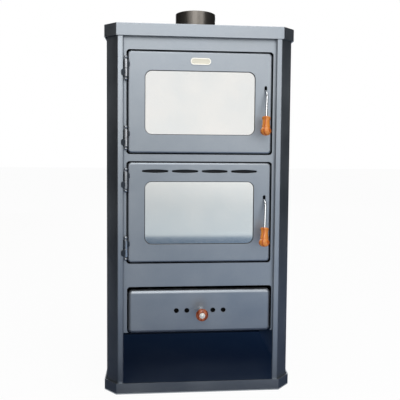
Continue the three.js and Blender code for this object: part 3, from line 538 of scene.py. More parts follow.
finishOf = {
    "stove_paint": stovePaint, "hinge_steel": hingeSteel, "flue_paint": fluePaint,
    "inner_steel": innerSteel, "cast_iron": castIron, "bright_steel": brightSteel,
    "zinc_steel": zincSteel, "fireclay": fireclay, "stove_glass": stoveGlass,
    "rope_seal": ropeSeal, "badge_metal": badgeMetal,
}
slotOf = {entry["node"]: entry["material_slot"] for entry in frame["record"]["subparts"]}
print("materials made")


def paint(piece, material):
    piece.data.materials.clear()
    piece.data.materials.append(material)
    return piece


def addDetail(piece, node, material=None):  # rides with a node, in its slot or a named one
    tidySelection()
    if material:
        paint(piece, material)
    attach(piece, nodes[node]["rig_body"])
    return piece


def finishPiece(piece, node, material=None):  # also takes the CAD node's place
    addDetail(piece, node, material)
    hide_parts(node)
    return piece


# ---- body: plinth, hob plate, folded sides, front plate, flue collar

bodyShape = {"plateCorner": 36, "plateFold": 1.5, "foldRadius": 2.2, "sheet": 3, "plateEdge": 1.6,
             "stripInner": 214.8, "stripRear": -215.3, "stripFront": -226.5, "bodyChamfer": 34.3,
             "rearFlange": 19, "flueY": 45, "flueHole": 65.3, "openingRadius": 9,
             "openings": [(-207, 207, 682.9, 974.5), (-207, 207, 371.7, 663.3), (-204.8, 211.2, 171.2, 305)]}


def cornerCutBlock(name, low, high):
    block = startBlock(name, low, high)
    pickEdges(block, lambda a, b: upright(a, b) and a.y < 0)
    roundPicked(bodyShape["plateCorner"], 1)
    return block


def makePlinth():
    tray = cornerCutBlock("plinth_tray", *limits("plinth"))
    pickFaces(tray, lambda n: n.z > 0.9)
    bpy.ops.mesh.delete(type="FACE")
    pickEdges(tray, upright)
    roundPicked(bodyShape["plateFold"], 3)
    modify(tray, "SOLIDIFY", thickness=bodyShape["sheet"] * mm, offset=-1, use_even_offset=True)
    soften(tray, 0.7, 3)
    finishPiece(tray, "plinth", stovePaint)


def makeHobPlate():
    low, high = limits("top_plate")
    cap = cornerCutBlock("hob_plate", low, high)
    pickEdges(cap, upright)
    roundPicked(bodyShape["plateFold"], 3)
    pickEdges(cap, lambda a, b: a.z > high[2] - 1 and b.z > high[2] - 1)
    roundPicked(bodyShape["plateEdge"], 4)
    pickFaces(cap, lambda n: n.z < -0.9)
    bpy.ops.mesh.delete(type="FACE")
    modify(cap, "SOLIDIFY", thickness=bodyShape["sheet"] * mm, offset=-1, use_even_offset=True)
    tidySelection()
    bpy.ops.mesh.primitive_cylinder_add(vertices=96, radius=bodyShape["flueHole"] * mm, depth=40 * mm,
                                        location=(0, bodyShape["flueY"] * mm, 1040 * mm))
    cutAway(cap, bpy.context.object)
    soften(cap, 0.4, 2)
    finishPiece(cap, "top_plate", stovePaint)


def makeSidePanels():
    shape = bodyShape
    low, high = limits("side_panel_right")
    half, rear = high[0], high[1]
    path = [(shape["stripInner"], shape["stripRear"]), (shape["stripInner"], shape["stripFront"]),
            (half - shape["bodyChamfer"], shape["stripFront"]),
            (half, shape["stripFront"] + shape["bodyChamfer"]), (half, rear),
            (half - shape["rearFlange"], rear)]
    tidySelection()
    bpy.ops.mesh.primitive_plane_add(size=1, location=(0, 0, 0))
    panel = bpy.context.object
    panel.name = "side_sheet_right"
    # The plane is stood up as the first fold, then one upright edge is drawn along the others.
    (x0, y0), (x1, y1) = path[:2]
    corners = [(x0, y0, low[2]), (x1, y1, low[2]), (x0, y0, high[2]), (x1, y1, high[2])]
    for vertex, corner in zip(panel.data.vertices, corners):
        vertex.co = [v * mm for v in corner]
    end = path[1]
    for following in path[2:]:
        pickEdges(panel, lambda a, b: near(a.x, end[0]) and near(b.x, end[0])
                  and near(a.y, end[1]) and near(b.y, end[1]))
        step = ((following[0] - end[0]) * mm, (following[1] - end[1]) * mm, 0)
        bpy.ops.mesh.extrude_region_move(TRANSFORM_OT_translate={"value": step})
        leaveEdit()
        end = following
    pickEdges(panel, lambda a, b: upright(a, b) and any(near(a.x, x) and near(a.y, y)
                                                       for x, y in path[1:-1]))
    roundPicked(shape["foldRadius"], 4)
    faceOutward(panel)
    outward = max(panel.data.polygons, key=lambda f: f.area)
    if outward.normal.x < 0:
        edit(panel)
        bpy.ops.mesh.select_all(action="SELECT")
        bpy.ops.mesh.flip_normals()
        leaveEdit()
    modify(panel, "SOLIDIFY", thickness=shape["sheet"] * mm, offset=-1, use_even_offset=True)
    soften(panel, 0.4, 2, angle=60)
    other = duplicateMoved(panel, "side_sheet_left", mirrored=True)
    finishPiece(panel, "side_panel_right", stovePaint)
    finishPiece(other, "side_panel_left", stovePaint)


def makeFrontPlate():
    low, high = limits("front_plate")
    plate = startBlock("front_sheet", low, high)
    tools = [frontSlab("opening", (x0, x1), (low[1] - 5, high[1] + 5), (z0, z1), bodyShape["openingRadius"])
             for x0, x1, z0, z1 in bodyShape["openings"]]
    cutAway(plate, *tools)
    soften(plate, 0.6, 2)
    finishPiece(plate, "front_plate", stovePaint)


collarShape = {"outer": 65, "wall": 2.5, "flange": 11, "flangeSheet": 4, "weld": 1, "lip": 0.8}


def makeFlueCollar():
    low, high = limits("flue_collar")
    shape = collarShape
    outer, inner, wide = shape["outer"], shape["outer"] - shape["wall"], shape["outer"] + shape["flange"]
    bottom, top, weld, lip = low[2], high[2], shape["weld"], shape["lip"]
    flange = bottom + shape["flangeSheet"]
    rings = [(inner, bottom), (wide, bottom), (wide, flange), (outer + weld, flange), (outer, flange + weld),
             (outer, top - lip), (outer - lip, top), (inner + lip, top), (inner, top - lip), (inner, bottom)]
    collar = turned("flue_spigot", rings, sides=96, closed=False, centre=(0, bodyShape["flueY"], 0))
    soften(collar, 0)
    finishPiece(collar, "flue_collar", fluePaint)


makePlinth()
makeHobPlate()
makeSidePanels()
makeFrontPlate()
makeFlueCollar()
print("body made")


# ---- doors, windows and drawer front

doorShape = {"corner": 11, "edge": 6, "skin": 3, "ledge": 9, "rim": 2.3, "windowHalf": 156,
             "windowHalfHeight": 89.8, "windowRise": -0.7, "windowRadius": 20, "paneRadius": 26.5,
             "gasket": 1.5,
             "slotLength": 74, "slotHeight": 9.6, "slotEnd": 5.6, "slotPitch": 84.2, "slotRise": 118,
             "slots": 4, "handleX": 185.8, "handleFoot": 32.85, "handleWidth": 7.5, "handleHeight": 17}


# The outside of a pressed panel: a slab whose front edge rolls back.
def rolledSlab(name, low, high, corner, edge):
    slab = frontSlab(name, *zip(low, high), corner, 10)
    pickEdges(slab, lambda a, b: near(a.y, low[1]) and near(b.y, low[1]))
    roundPicked(edge, 6)
    return slab


def insetTool(name, low, high, by, ys, radius):
    return frontSlab(name, (low[0] + by, high[0] - by), ys, (low[2] + by, high[2] - by), radius, 6)


# A door's shell: the sheet's inside, a folded ledge for the rope and the recess behind it.
def doorShell(name, low, high):
    shape = doorShape
    shell = rolledSlab(name, low, high, shape["corner"], shape["edge"])
    skin, rim = shape["skin"], shape["rim"]
    inside = rolledSlab("inside", (low[0] + skin, low[1] + skin, low[2] + skin),
                        (high[0] - skin, high[1] - rim - skin, high[2] - skin), shape["corner"] - skin,
                        shape["edge"] - skin)
    cutAway(shell, inside)
    fold = skin + shape["ledge"]
    cutAway(shell, insetTool("passage", low, high, fold, (low[1] + skin + 4, high[1] + 1), 2))
    cutAway(shell, insetTool("recess", low, high, skin, (high[1] - rim, high[1] + 2), shape["corner"] - skin))
    return shell


# An air slot with small round ends whose long sides bow out.
def bowedSlot(x, z, front, rear):
    shape = doorShape
    half, end = shape["slotLength"] / 2, shape["slotEnd"] / 2
    slot = startBlock("slot", (x - half, front, z - end), (x + half, rear, z + end))
    pickEdges(slot, lambda a, b: abs(a.y - b.y) > 0.5)
    roundPicked(end * 0.97, 5)
    pickEdges(slot, lambda a, b: abs(a.x - b.x) > half)
    bpy.ops.mesh.subdivide(number_cuts=13)
    leaveEdit()
    columns = sorted({round(v.co.x / mm, 2) for v in slot.data.vertices if abs(v.co.x / mm - x) < half - end})
    for column in columns:
        across = (column - x) / (half - end)
        swell = 1 + (shape["slotHeight"] / shape["slotEnd"] - 1) * (1 - across ** 2)
        pickPoints(slot, lambda p: near(p.x, column, 0.02))
        bpy.ops.transform.resize(value=(1, 1, swell), center_override=(0, 0, z * mm))
        leaveEdit()
    return slot


# The gasket's black lip also paints the shaded line round the window.
def makeGasket(prefix, front, z):
    shape = doorShape
    half, tall, lip = shape["windowHalf"] - 0.05, shape["windowHalfHeight"] - 0.05, shape["gasket"]
    ys = (front + 1.0, front + 3.2)
    gasket = frontSlab(f"{prefix}_window_gasket", (-half, half), ys, (z - tall, z + tall),
                       shape["windowRadius"], 12)
    hole = frontSlab("hole", (lip - half, half - lip), (ys[0] - 1, ys[1] + 1),
                     (z - tall + lip, z + tall - lip), shape["windowRadius"] - lip, 12)
    cutAway(gasket, hole)
    soften(gasket, 0.3, 2)
    addDetail(gasket, f"{prefix}_door", gasketWithPaintedShade)


def makeDoor(prefix, withSlots):
    node = f"{prefix}_door"
    low, high = limits(node)
    shape = doorShape
    z = (low[2] + high[2]) / 2
    windowZ = z + shape["windowRise"]
    door = doorShell(f"{prefix}_door_panel", low, high)
    front, rear = low[1] - 2, low[1] + shape["skin"] + 1.5
    tools = [frontSlab("window", (-shape["windowHalf"], shape["windowHalf"]), (front, rear),
                       (windowZ - shape["windowHalfHeight"], windowZ + shape["windowHalfHeight"]),
                       shape["windowRadius"], 12)]
    foot, half = z + shape["handleFoot"], shape["handleWidth"] / 2
    tools.append(frontSlab("handleSlot", (shape["handleX"] - half, shape["handleX"] + half), (front, rear),
                           (foot, foot + shape["handleHeight"]), 3.6, 6))
    if withSlots:
        first = bowedSlot(-(shape["slots"] - 1) / 2 * shape["slotPitch"], z + shape["slotRise"], front, rear)
        tools.append(first)
        for i in range(1, shape["slots"]):
            tools.append(duplicateMoved(first, "slot", (i * shape["slotPitch"], 0, 0)))
    cutAway(door, *tools)
    soften(door, 0.5, 2, angle=50)
    finishPiece(door, node, stovePaint)
    makeGasket(prefix, low[1], windowZ)

    pane = frontSlab(f"{prefix}_pane", *zip(*limits(f"{prefix}_glass")), shape["paneRadius"], 12)
    soften(pane, 0.4, 2, angle=50)
    finishPiece(pane, f"{prefix}_glass", stoveGlass)


drawerShape = {"corner": 12, "edge": 10, "skin": 3, "middle": 3.2, "holes": (-67.5, -37.5, 37.5, 67.5),
               "hole": 14, "holeZ": 235, "stemSlot": (-12.9, 10.9), "stemSlotHalf": 4.4,
               "plate": ((-84.3, 90.7), (-213.6, -211.6), (221, 249)), "stem": 4, "stemY": -213.4,
               "stemLength": 8, "sleeve": 7.5, "sleeveX": 6.5, "sleeveY": -217.4, "sleeveEnd": -243.0,
               "cover": (-15.5, 13.5), "coverHalf": 5.8, "coverSheet": 0.8, "coverGap": 0.15}


def roundTool(x, z, y0, y1, radius):
    tidySelection()
    bpy.ops.mesh.primitive_cylinder_add(vertices=40, radius=radius * mm, depth=(y1 - y0) * mm,
                                        location=(x * mm, (y0 + y1) / 2 * mm, z * mm),
                                        rotation=(math.pi / 2, 0, 0))
    return placed("roundTool")


def makeDrawerFront():
    low, high = limits("drawer_front")
    shape = drawerShape
    skin = shape["skin"]
    front = rolledSlab("drawer_face", low, high, shape["corner"], shape["edge"])
    inside = rolledSlab("inside", (low[0] + skin, low[1] + skin, low[2] + skin),
                        (high[0] - skin, high[1] + 2, high[2] - skin), shape["corner"] - skin,
                        shape["edge"] - skin)
    cutAway(front, inside)
    tools = [roundTool(shape["middle"] + x, shape["holeZ"], low[1] - 4, low[1] + 6, shape["hole"] / 2)
             for x in shape["holes"]]
    tools.append(frontSlab("stemSlot", shape["stemSlot"], (low[1] - 3, low[1] + 4.5),
                           (shape["holeZ"] - shape["stemSlotHalf"], shape["holeZ"] + shape["stemSlotHalf"]),
                           4.3, 8))
    cutAway(front, *tools)
    soften(front, 0.4, 2, angle=50)
    finishPiece(front, "drawer_front", stovePaint)


def makeAirSlide():
    shape = drawerShape
    plate = frontSlab("air_slide_plate", *shape["plate"], 2, 4)
    cutAway(plate, *[roundTool(shape["middle"] + x, shape["holeZ"], -218, -208, shape["hole"] / 2)
                     for x in shape["holes"]])
    soften(plate, 0.2, 2)
    long, outer = shape["stemLength"], shape["sleeve"]
    stem = turnedPart("stem", [(0.05, 0), (shape["stem"], 0), (shape["stem"], long), (0.05, long)], 24,
                      (0, -1, 0), (shape["sleeveX"], shape["stemY"], shape["holeZ"]), 45)
    length = shape["sleeveY"] - shape["sleeveEnd"]
    sleeve = turnedPart("sleeve", [(0.05, 0), (outer - 0.9, 0), (outer - 0.3, 0.2), (outer, 0.9),
                                   (outer, length - 0.6), (outer - 0.6, length), (0.05, length)], 48,
                        (0, -1, 0), (shape["sleeveX"], shape["sleeveY"], shape["holeZ"]), 45)
    # The slide plate's near-black colour is painted shade behind the air holes.
    paint(plate, shadeDarkZinc)
    paint(stem, brightSteel)
    paint(sleeve, brightSteel)
    back, half = limits("drawer_front")[0][1] - shape["coverGap"], shape["coverHalf"]
    cover = frontSlab("slot_cover", shape["cover"], (back - shape["coverSheet"], back),
                      (shape["holeZ"] - half, shape["holeZ"] + half), half - 0.1, 8)
    paint(cover, stovePaint)
    soften(cover, 0.25, 2, angle=40)
    slide = joined("air_slide_assembly", plate, stem, sleeve, cover)
    finishPiece(slide, "air_slide")


makeDoor("oven", False)
makeDoor("firebox", True)
makeDrawerFront()
makeAirSlide()
print("doors and drawer made")


# ---- hinges

hingeShape = {"barrel": 6.5, "pin": 3.5, "ball": 4.8, "neck": 2.8, "finial": 11, "line": (-207.8, -222.5),
              "upper": 25, "lower": 23, "gap": 0.4, "doorTab": 7.5, "doorTabRadius": 3,
              "doorTabFront": -217.3, "bodyTab": 9, "bodyTabRadius": 6, "bodyTabFront": -226.8,
              "tabSheet": 2.6}
hingeNames = ("oven_upper_hinge", "oven_lower_hinge", "firebox_upper_hinge", "firebox_lower_hinge")


def finialRings(z, way):
    shape = hingeShape
    barrel, ball, neck = shape["barrel"], shape["ball"], shape["neck"]
    middle = shape["finial"] - ball
    rings = [(barrel, -0.9), (barrel - 0.3, -0.3), (barrel - 0.9, 0), (neck + 0.7, 0.5), (neck, 1.0),
             (neck, 1.8)]
    start = -0.93  # radians below the ball's middle, where the neck meets it
    for i in range(9):
        angle = start + i / 9 * (math.pi / 2 - start)
        rings.append((ball * math.cos(angle), middle + ball * math.sin(angle)))
    rings.append((0.05, shape["finial"]))
    return [(r, z + way * h) for r, h in rings]


def hingeTab(name, x0, x1, front, z, half, radius):
    tab = frontSlab(name, (x0, x1), (front - hingeShape["tabSheet"], front), (z - half, z + half), radius, 5)
    return paint(tab, tabSteel)


def makeHinge(prefix):
    shape = hingeShape
    x, y = shape["line"]
    low, high = limits(f"{prefix}_knuckle")
    joint = low[2] - shape["gap"]
    upper = turned("upperBarrel", [(0.05, shape["gap"]), (shape["barrel"] - 0.5, shape["gap"]),
                                   (shape["barrel"], shape["gap"] + 0.5)] + finialRings(shape["upper"], 1),
                   sides=36, centre=(x, y, joint))
    doorTab = hingeTab("doorTab", x + 1, high[0], shape["doorTabFront"], joint + shape["upper"] / 2,
                       shape["doorTab"], shape["doorTabRadius"])
    knuckle = joined(f"{prefix}_door_half", paint(upper, hingeSteel), doorTab)
    soften(knuckle, 0.3, 2, angle=50)
    finishPiece(knuckle, f"{prefix}_knuckle")
    lowerRings = list(reversed(finialRings(-shape["lower"], -1)))
    lower = turned("lowerBarrel", lowerRings + [(shape["barrel"], -0.5), (shape["barrel"] - 0.5, 0),
                                                (0.05, 0)], sides=36, centre=(x, y, joint))
    pin = turned("hingePin", [(0.05, -0.5), (shape["pin"], -0.5), (shape["pin"], shape["upper"] - 7),
                              (0.05, shape["upper"] - 6)], sides=24, centre=(x, y, joint))
    left = limits(f"{prefix}_pin_half")[0][0]
    bodyTab = hingeTab("bodyTab", left, x - 1, shape["bodyTabFront"], joint - shape["lower"] / 2,
                       shape["bodyTab"], shape["bodyTabRadius"])
    half = joined(f"{prefix}_body_half", paint(lower, hingeSteel), bodyTab, paint(pin, brightSteel))
    soften(half, 0.3, 2, angle=50)
    finishPiece(half, f"{prefix}_pin_half")


for hinge in hingeNames:
    makeHinge(hinge)
print("hinges made")


# ---- latch levers with turned wooden grips

leverShape = {"x": 185.8, "y": -207, "rise": 36.4, "rod": 3.25, "bend": 22, "dip": 8, "jog": 1.8,
              "slotFront": 11, "drop": 67.4, "outward": 0.3, "sideways": -0.082, "gripLength": 53, "bore": 34,
              "corner": 10, "shaft": 4, "shaftEdge": 0.4, "hook": 5, "hookOffset": 12.15, "hookReach": 36,
              "hookHalf": 3.5, "noseLength": 6, "noseTop": 7.6}
# Depth from the ball's end and radius, in mm: ball, waist, neck and collar.
gripProfile = [(0.0, 0.05), (0.1, 2.5), (0.35, 4.4), (0.9, 6.8), (1.7, 8.9), (3.0, 11.0), (4.6, 12.7),
               (6.6, 14.1), (8.8, 15.0), (11.4, 15.4), (13.8, 15.15), (15.8, 14.5), (17.6, 13.5),
               (18.9, 12.4), (19.9, 11.55), (20.6, 11.2), (21.5, 11.5), (24, 11.85), (27, 11.6),
               (31, 10.9), (35, 10.3), (39, 10.1), (42, 10.25), (44.6, 10.7), (46.4, 11.2),
               (47.0, 11.7), (47.8, 12.15), (49.2, 12.3), (50.8, 12.2), (51.8, 11.8), (52.5, 11.0),
               (53, 9.6)]


def makeLever(prefix):
    shape = leverShape
    low, high = limits(f"{prefix}_door")
    pivot = Vector((shape["x"], shape["y"], (low[2] + high[2]) / 2 + shape["rise"]))
    down = Vector((shape["sideways"], -shape["outward"], -1)).normalized()
    corner = pivot + Vector((shape["jog"], -shape["bend"], -shape["dip"]))
    gripTop = corner + down * (-shape["drop"] / down.z)
    rodEnd = gripTop + down * (shape["bore"] - 2)
    slotFront = pivot + Vector((0, -shape["slotFront"], 0))
    bendStart = corner + (slotFront - corner).normalized() * shape["corner"]
    bendEnd = corner + down * shape["corner"]
    points = [pivot + Vector((0, 4, 0)), slotFront, bendStart]
    for i in range(1, 8):
        t = i / 8
        points.append(bendStart * (1 - t) ** 2 + corner * (2 * t * (1 - t)) + bendEnd * t ** 2)
    points += [bendEnd, rodEnd]
    rod = wireTube("rod", points, shape["rod"], 6, False)
    thick, reach, half = shape["hook"], shape["hookReach"], shape["hookHalf"]
    left = shape["x"] - shape["hookOffset"]
    length, radius, edge = shape["x"] + shape["rod"] - left, shape["shaft"], shape["shaftEdge"]
    shaft = turned("shaft", [(0.05, 0), (radius - edge, 0), (radius, edge), (radius, length - edge),
                             (radius - edge, length), (0.05, length)], 28)
    turnTo(shaft, (1, 0, 0), (left, pivot.y, pivot.z))
    hook = startBlock("hook", (left, pivot.y - radius, pivot.z - half),
                      (left + thick, pivot.y + reach, pivot.z + half))
    nose = startBlock("nose", (left, pivot.y + reach - shape["noseLength"], pivot.z + half - 0.1),
                      (left + thick, pivot.y + reach, pivot.z + shape["noseTop"]))
    lever = joined(f"{prefix}_lever_rod", rod, shaft, hook, nose)
    soften(lever, 0.4, 2, angle=50)
    finishPiece(lever, f"{prefix}_latch_lever", brightSteel)

    length = shape["gripLength"]
    rings = [(radius, depth) for depth, radius in gripProfile]
    rings += [(3.65, length), (3.6, length - 1), (0.05, length - 1.2)]
    grip = turnedPart(f"{prefix}_wooden_grip", rings, 56, -down, gripTop + down * length, 50)
    finishPiece(grip, f"{prefix}_handle_grip", makeWood(f"varnishedBeech_{prefix}", gripTop, down, gripWood))


for prefix in ("oven", "firebox"):
    makeLever(prefix)
print("levers made")


# ---- knob, its screw and the badge

knobShape = {"x": 6.5, "radius": 17.5, "back": -243.3, "z": 235, "grainY": -250, "washerDepth": 21.9,
             "screwDome": 2.0}
# Depth from the sleeve in mm, and share of the knob's radius: neck, ball, rim and the screw's recess.
knobProfile = [(0, 0.05), (0, 0.52), (0.5, 0.57), (2.5, 0.61), (4, 0.66), (6, 0.75), (8, 0.85), (10, 0.93),
               (12, 0.98), (14, 1.0), (16.5, 0.995), (18.5, 0.96), (20.3, 0.90), (21.8, 0.81), (23.0, 0.70),
               (23.7, 0.63), (24, 0.585), (23.9, 0.555), (23.2, 0.525), (22.2, 0.50), (21.9, 0.46),
               (21.8, 0.05)]


def makeKnob():
    shape = knobShape
    rings = [(max(0.05, shape["radius"] * share), depth) for depth, share in knobProfile]
    x, z, ahead = shape["x"], shape["z"], (0, -1, 0)
    knob = turnedPart("wooden_knob", rings, 56, ahead, (x, shape["back"], z), 50)
    finishPiece(knob, "knob", makeWood("varnishedBeech_knob", (x, shape["grainY"], z), ahead, knobWood))
    low, high = limits("knob_screw")
    height = high[1] - low[1]
    head = height - shape["screwDome"]
    screw = turnedPart("knob_bolt", [(0.05, 0), (2.7, 0), (2.7, head - 1.2), (4.9, head - 1.2),
                                     (5, head - 0.8), (5, head), (4.8, head + 0.6), (4.2, head + 1.2),
                                     (3.2, head + 1.7), (2.0, height - 0.08), (0.05, height)], 40,
                       ahead, (x, high[1], z), 45)
    finishPiece(screw, "knob_screw", nickelAndHighlight)
    # The washer's pale nickel also paints the bright ring round the screw, a painted reflection.
    washer = turnedPart("knob_washer", [(2.9, 0), (7.4, 0), (7.8, 0.3), (7.8, 0.7), (7.4, 1.0), (5.5, 1.2),
                                        (2.9, 1.2), (2.9, 0)], 48,
                        ahead, (x, shape["back"] - shape["washerDepth"], z), 45, closed=False)
    addDetail(washer, "knob_screw", nickelAndHighlight)


badgeShape = {"corner": 9, "rim": 2.6, "recess": 0.7}


def makeBadge():
    shape = badgeShape
    plate = frontSlab("bare_badge", *zip(*limits("oven_badge")), shape["corner"], 8)
    paint(plate, badgeMetal)
    plate.data.materials.append(badgeField)
    pickFaces(plate, lambda n: n.y < -0.9)
    bpy.ops.mesh.inset(thickness=shape["rim"] * mm, depth=0)
    bpy.ops.mesh.extrude_region_move(TRANSFORM_OT_translate={"value": (0, shape["recess"] * mm, 0)})
    plate.active_material_index = 1
    bpy.ops.object.material_slot_assign()
    leaveEdit()
    soften(plate, 0.3, 2, angle=40)
    finishPiece(plate, "oven_badge")


makeKnob()
makeBadge()
print("knob and badge made")


# ---- inside pieces, seen when the doors or the drawer are open

insideShape = {"brickEdge": 2.5, "brickJoint": 1.2, "ropeCorner": 7, "rackWire": 2.5, "crossWire": 1.8,
               "crossWires": 11, "rackCorner": 12}


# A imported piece's copy: its loose triangles are merged into flat faces, then its edges are eased.
def easedCopy(node, width, material):
    tidySelection()
    copy = bpy.data.objects.new(f"{node}_eased", nodes[node].data.copy())
    bpy.context.scene.collection.objects.link(copy)
    edit(copy)
    bpy.ops.mesh.select_all(action="SELECT")
    bpy.ops.mesh.remove_doubles(threshold=1e-5)
    bpy.ops.mesh.dissolve_limited(angle_limit=math.radians(1))
    leaveEdit()
    soften(copy, width, 2, angle=40)
    return finishPiece(copy, node, material)


# Two bricks stand side by side in each wall.
def makeBricks(node, along):
    low, high = limits(node)
    middle = (low[along] + high[along]) / 2
    gap = insideShape["brickJoint"] / 2
    bricks = []
    for start, end in ((low[along], middle - gap), (middle + gap, high[along])):
        a, b = list(low), list(high)
        a[along], b[along] = start, end
        brick = startBlock("brick", a, b)
        pickEdges(brick, lambda p, q: True)
        roundPicked(insideShape["brickEdge"], 3)
        bricks.append(brick)
    wall = joined(f"{node}_bricks", *bricks)
    soften(wall, 0)
    finishPiece(wall, node, fireclay)


def roundedPath(half, tall, radius, steps=6):  # corners of a rounded rectangle, anticlockwise
    points = []
    for sx, sz, start in ((1, -1, -90), (1, 1, 0), (-1, 1, 90), (-1, -1, 180)):
        for i in range(steps + 1):
            angle = math.radians(start + 90 * i / steps)
            points.append((sx * (half - radius) + radius * math.cos(angle),
                           sz * (tall - radius) + radius * math.sin(angle)))
    return points


def ringTube(name, points, radius):
    return soften(wireTube(name, points, radius, 4, True), 0, smooth=60)


def makeRopeSeal(prefix):
    low, high = limits(f"{prefix}_door_seal")
    radius = (high[1] - low[1]) / 2
    y, z = (low[1] + high[1]) / 2, (low[2] + high[2]) / 2
    around = roundedPath(high[0] - radius, (high[2] - low[2]) / 2 - radius, insideShape["ropeCorner"])
    rope = ringTube(f"{prefix}_rope", [(x, y, z + h) for x, h in around], radius)
    finishPiece(rope, f"{prefix}_door_seal", ropeSeal)


def makeRack():
    low, high = limits("oven_rack")
    wire, cross, z = insideShape["rackWire"], insideShape["crossWire"], (low[2] + high[2]) / 2
    y = (low[1] + high[1]) / 2
    around = roundedPath(high[0] - wire, (high[1] - low[1]) / 2 - wire, insideShape["rackCorner"])
    wires = [ringTube("rackFrame", [(x, y + d, z) for x, d in around], wire)]
    count = insideShape["crossWires"]
    length = high[1] - low[1] - 2 * wire
    first = turnedPart("crossWire", [(0.05, 0), (cross, 0), (cross, length), (0.05, length)], 14,
                       (0, 1, 0), (0, low[1] + wire, z), 50)
    for i in range(count):
        x = (i - (count - 1) / 2) * (2 * high[0]) / (count + 1)
        wires.append(duplicateMoved(first, "crossWire", (x, 0, 0)))
    bpy.data.objects.remove(first)
    rack = joined("chromed_rack", *wires)
    finishPiece(rack, "oven_rack", brightSteel)


def makeGlassScrew(node):
    low, high = limits(node)
    length, head, radius = high[1] - low[1], 2.5, (high[0] - low[0]) / 2
    rings = [(0.05, 0), (1.7, 0), (2, 0.4), (2, length - head), (radius, length - head),
             (radius, length - head + 0.7), (radius - 0.6, length - 0.9), (radius - 1.6, length - 0.2),
             (1.5, length), (1.3, length - 1.2), (0.05, length - 1.3)]
    screw = turnedPart(f"{node}_pan_head", rings, 24, (0, 1, 0),
                       ((low[0] + high[0]) / 2, low[1], (low[2] + high[2]) / 2), 40)
    finishPiece(screw, node, brightSteel)


airWash = {"half": 168, "front": 3.3, "depth": 9.6, "back": 10.8, "bottom": 10, "top": 9}


# A folded sheet behind the air slots leads the air down over the pane.
def makeAirWash():
    low, high = limits("firebox_door")
    z, half, top = (low[2] + high[2]) / 2 + doorShape["slotRise"], airWash["half"], airWash["top"]
    depth, back = low[1] + airWash["depth"], low[1] + airWash["back"]
    leaf = startBlock("leaf", (-half, depth, z - airWash["bottom"]), (half, back, z + top))
    lid = startBlock("lid", (-half, low[1] + airWash["front"], z + top - 1), (half, depth + 0.2, z + top))
    wash = joined("air_wash_channel", leaf, lid)
    soften(wash, 0.3, 2)
    addDetail(wash, "firebox_door", innerSteel)


backScrews = {"place": (254, 226.55), "heights": (90, 370, 650, 930)}


# Pan-head screws hold the back panel to the folded sides.
def makeBackScrews():
    x, y = backScrews["place"]
    first = turnedPart("backScrew", [(0.05, 0), (5, 0), (5, 0.6), (4.4, 1.6), (3.2, 2.3), (1.8, 2.5),
                                     (1.6, 1.5), (0.05, 1.4)], 28, (0, 1, 0), (x, y, 0), 40)
    screws = [duplicateMoved(first, "backScrew", (across, 0, z))
              for z in backScrews["heights"] for across in (0, -2 * x)]
    bpy.data.objects.remove(first)
    row = joined("back_panel_screws", *screws)
    addDetail(row, "back_panel", zincSteel)


for node, along in (("firebrick_left", 1), ("firebrick_right", 1), ("firebrick_back", 0)):
    makeBricks(node, along)
for prefix in ("oven", "firebox"):
    makeRopeSeal(prefix)
    for number in range(1, 5):
        makeGlassScrew(f"{prefix}_glass_screw_{number}")
    easedCopy(f"{prefix}_glass_frame", 0.6, innerSteel)
    easedCopy(f"{prefix}_latch_bracket", 0.5, innerSteel)
    easedCopy(f"{prefix}_keeper", 0.6, innerSteel)
makeRack()
makeAirWash()
makeBackScrews()
easedCopy("fire_grate", 1.0, castIron)
easedCopy("log_guard", 1.2, castIron)
# Near-black zinc: painted shade inside the ash drawer, seen through the air holes.
easedCopy("ash_pan", 0.6, shadeDarkZinc)
easedCopy("air_slide_guide", 0.4, shadeDarkZinc)
easedCopy("baffle_plate", 0.8, innerSteel)
easedCopy("ash_channel", 0.6, nichePrimer)
easedCopy("back_panel", 0.5, nichePrimer)
print("inside pieces made")

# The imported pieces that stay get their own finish.
for nodeName, node in nodes.items():
    if slotOf[nodeName] in finishOf:
        paint(node, finishOf[slotOf[nodeName]])
print("remaining nodes dressed")


# ---- floor, light and surroundings

# The floor and the room are white to the eye. Reflections instead see a glowing sheet just above the floor:
# painted reflection, dark near the stove with a painted dark band from 2.25 to 2.6 m, and painted lighter
# to the right near the stove. The sheet's stops are distances from the middle in metres and sRGB hex.
studio = {"floorColour": "#ffffff", "whiteShare": 0.95, "fill": 0.42, "flagColour": "#060505",
          "flagDistance": 1500, "flagSheet": 10, "flagY": (-1400, 3500), "flagZ": (4, 3500),
          "paintedReflectionLength": 12, "tiltLeft": -0.65, "tiltRight": 0.75, "tiltFade": (2.2, 2.9), "tiltFar": 0.2,
          "paintedReflection": [(0.0, "#12223c"), (0.31, "#22344f"), (0.6, "#70829f"), (0.9, "#9eb2cd"),
                    (1.9, "#afc1d9"), (2.25, "#7f92aa"), (2.4, "#617286"), (2.6, "#8393a4"),
                    (2.66, "#ccd6dd"), (4.5, "#d3d9dd"), (9.0, "#f2f3f3"), (12.0, "#ffffff")]}


def paleView(tree):  # 1 where the camera, a reflection or a clear pane looks
    path = addNode(tree, "LightPath")
    first = addNode(tree, "Math", {"operation": "MAXIMUM"}, i0=path.outputs["Is Camera Ray"],
                    i1=path.outputs["Is Glossy Ray"])
    return addNode(tree, "Math", {"operation": "MAXIMUM"}, i0=first.outputs[0],
                   i1=path.outputs["Is Transmission Ray"]).outputs[0]


def makeWorld():
    world = bpy.data.worlds.new("whiteStudio")
    bpy.context.scene.world = world
    world.use_nodes = True
    tree = world.node_tree
    tree.nodes.clear()
    fill = addNode(tree, "Background", {"Color": colour("#ffffff"), "Strength": studio["fill"]})
    white = addNode(tree, "Background", {"Color": colour("#ffffff"), "Strength": 1.0})
    mixed = addNode(tree, "MixShader", i0=paleView(tree), i1=fill.outputs[0], i2=white.outputs[0])
    addNode(tree, "OutputWorld", Surface=mixed.outputs[0])


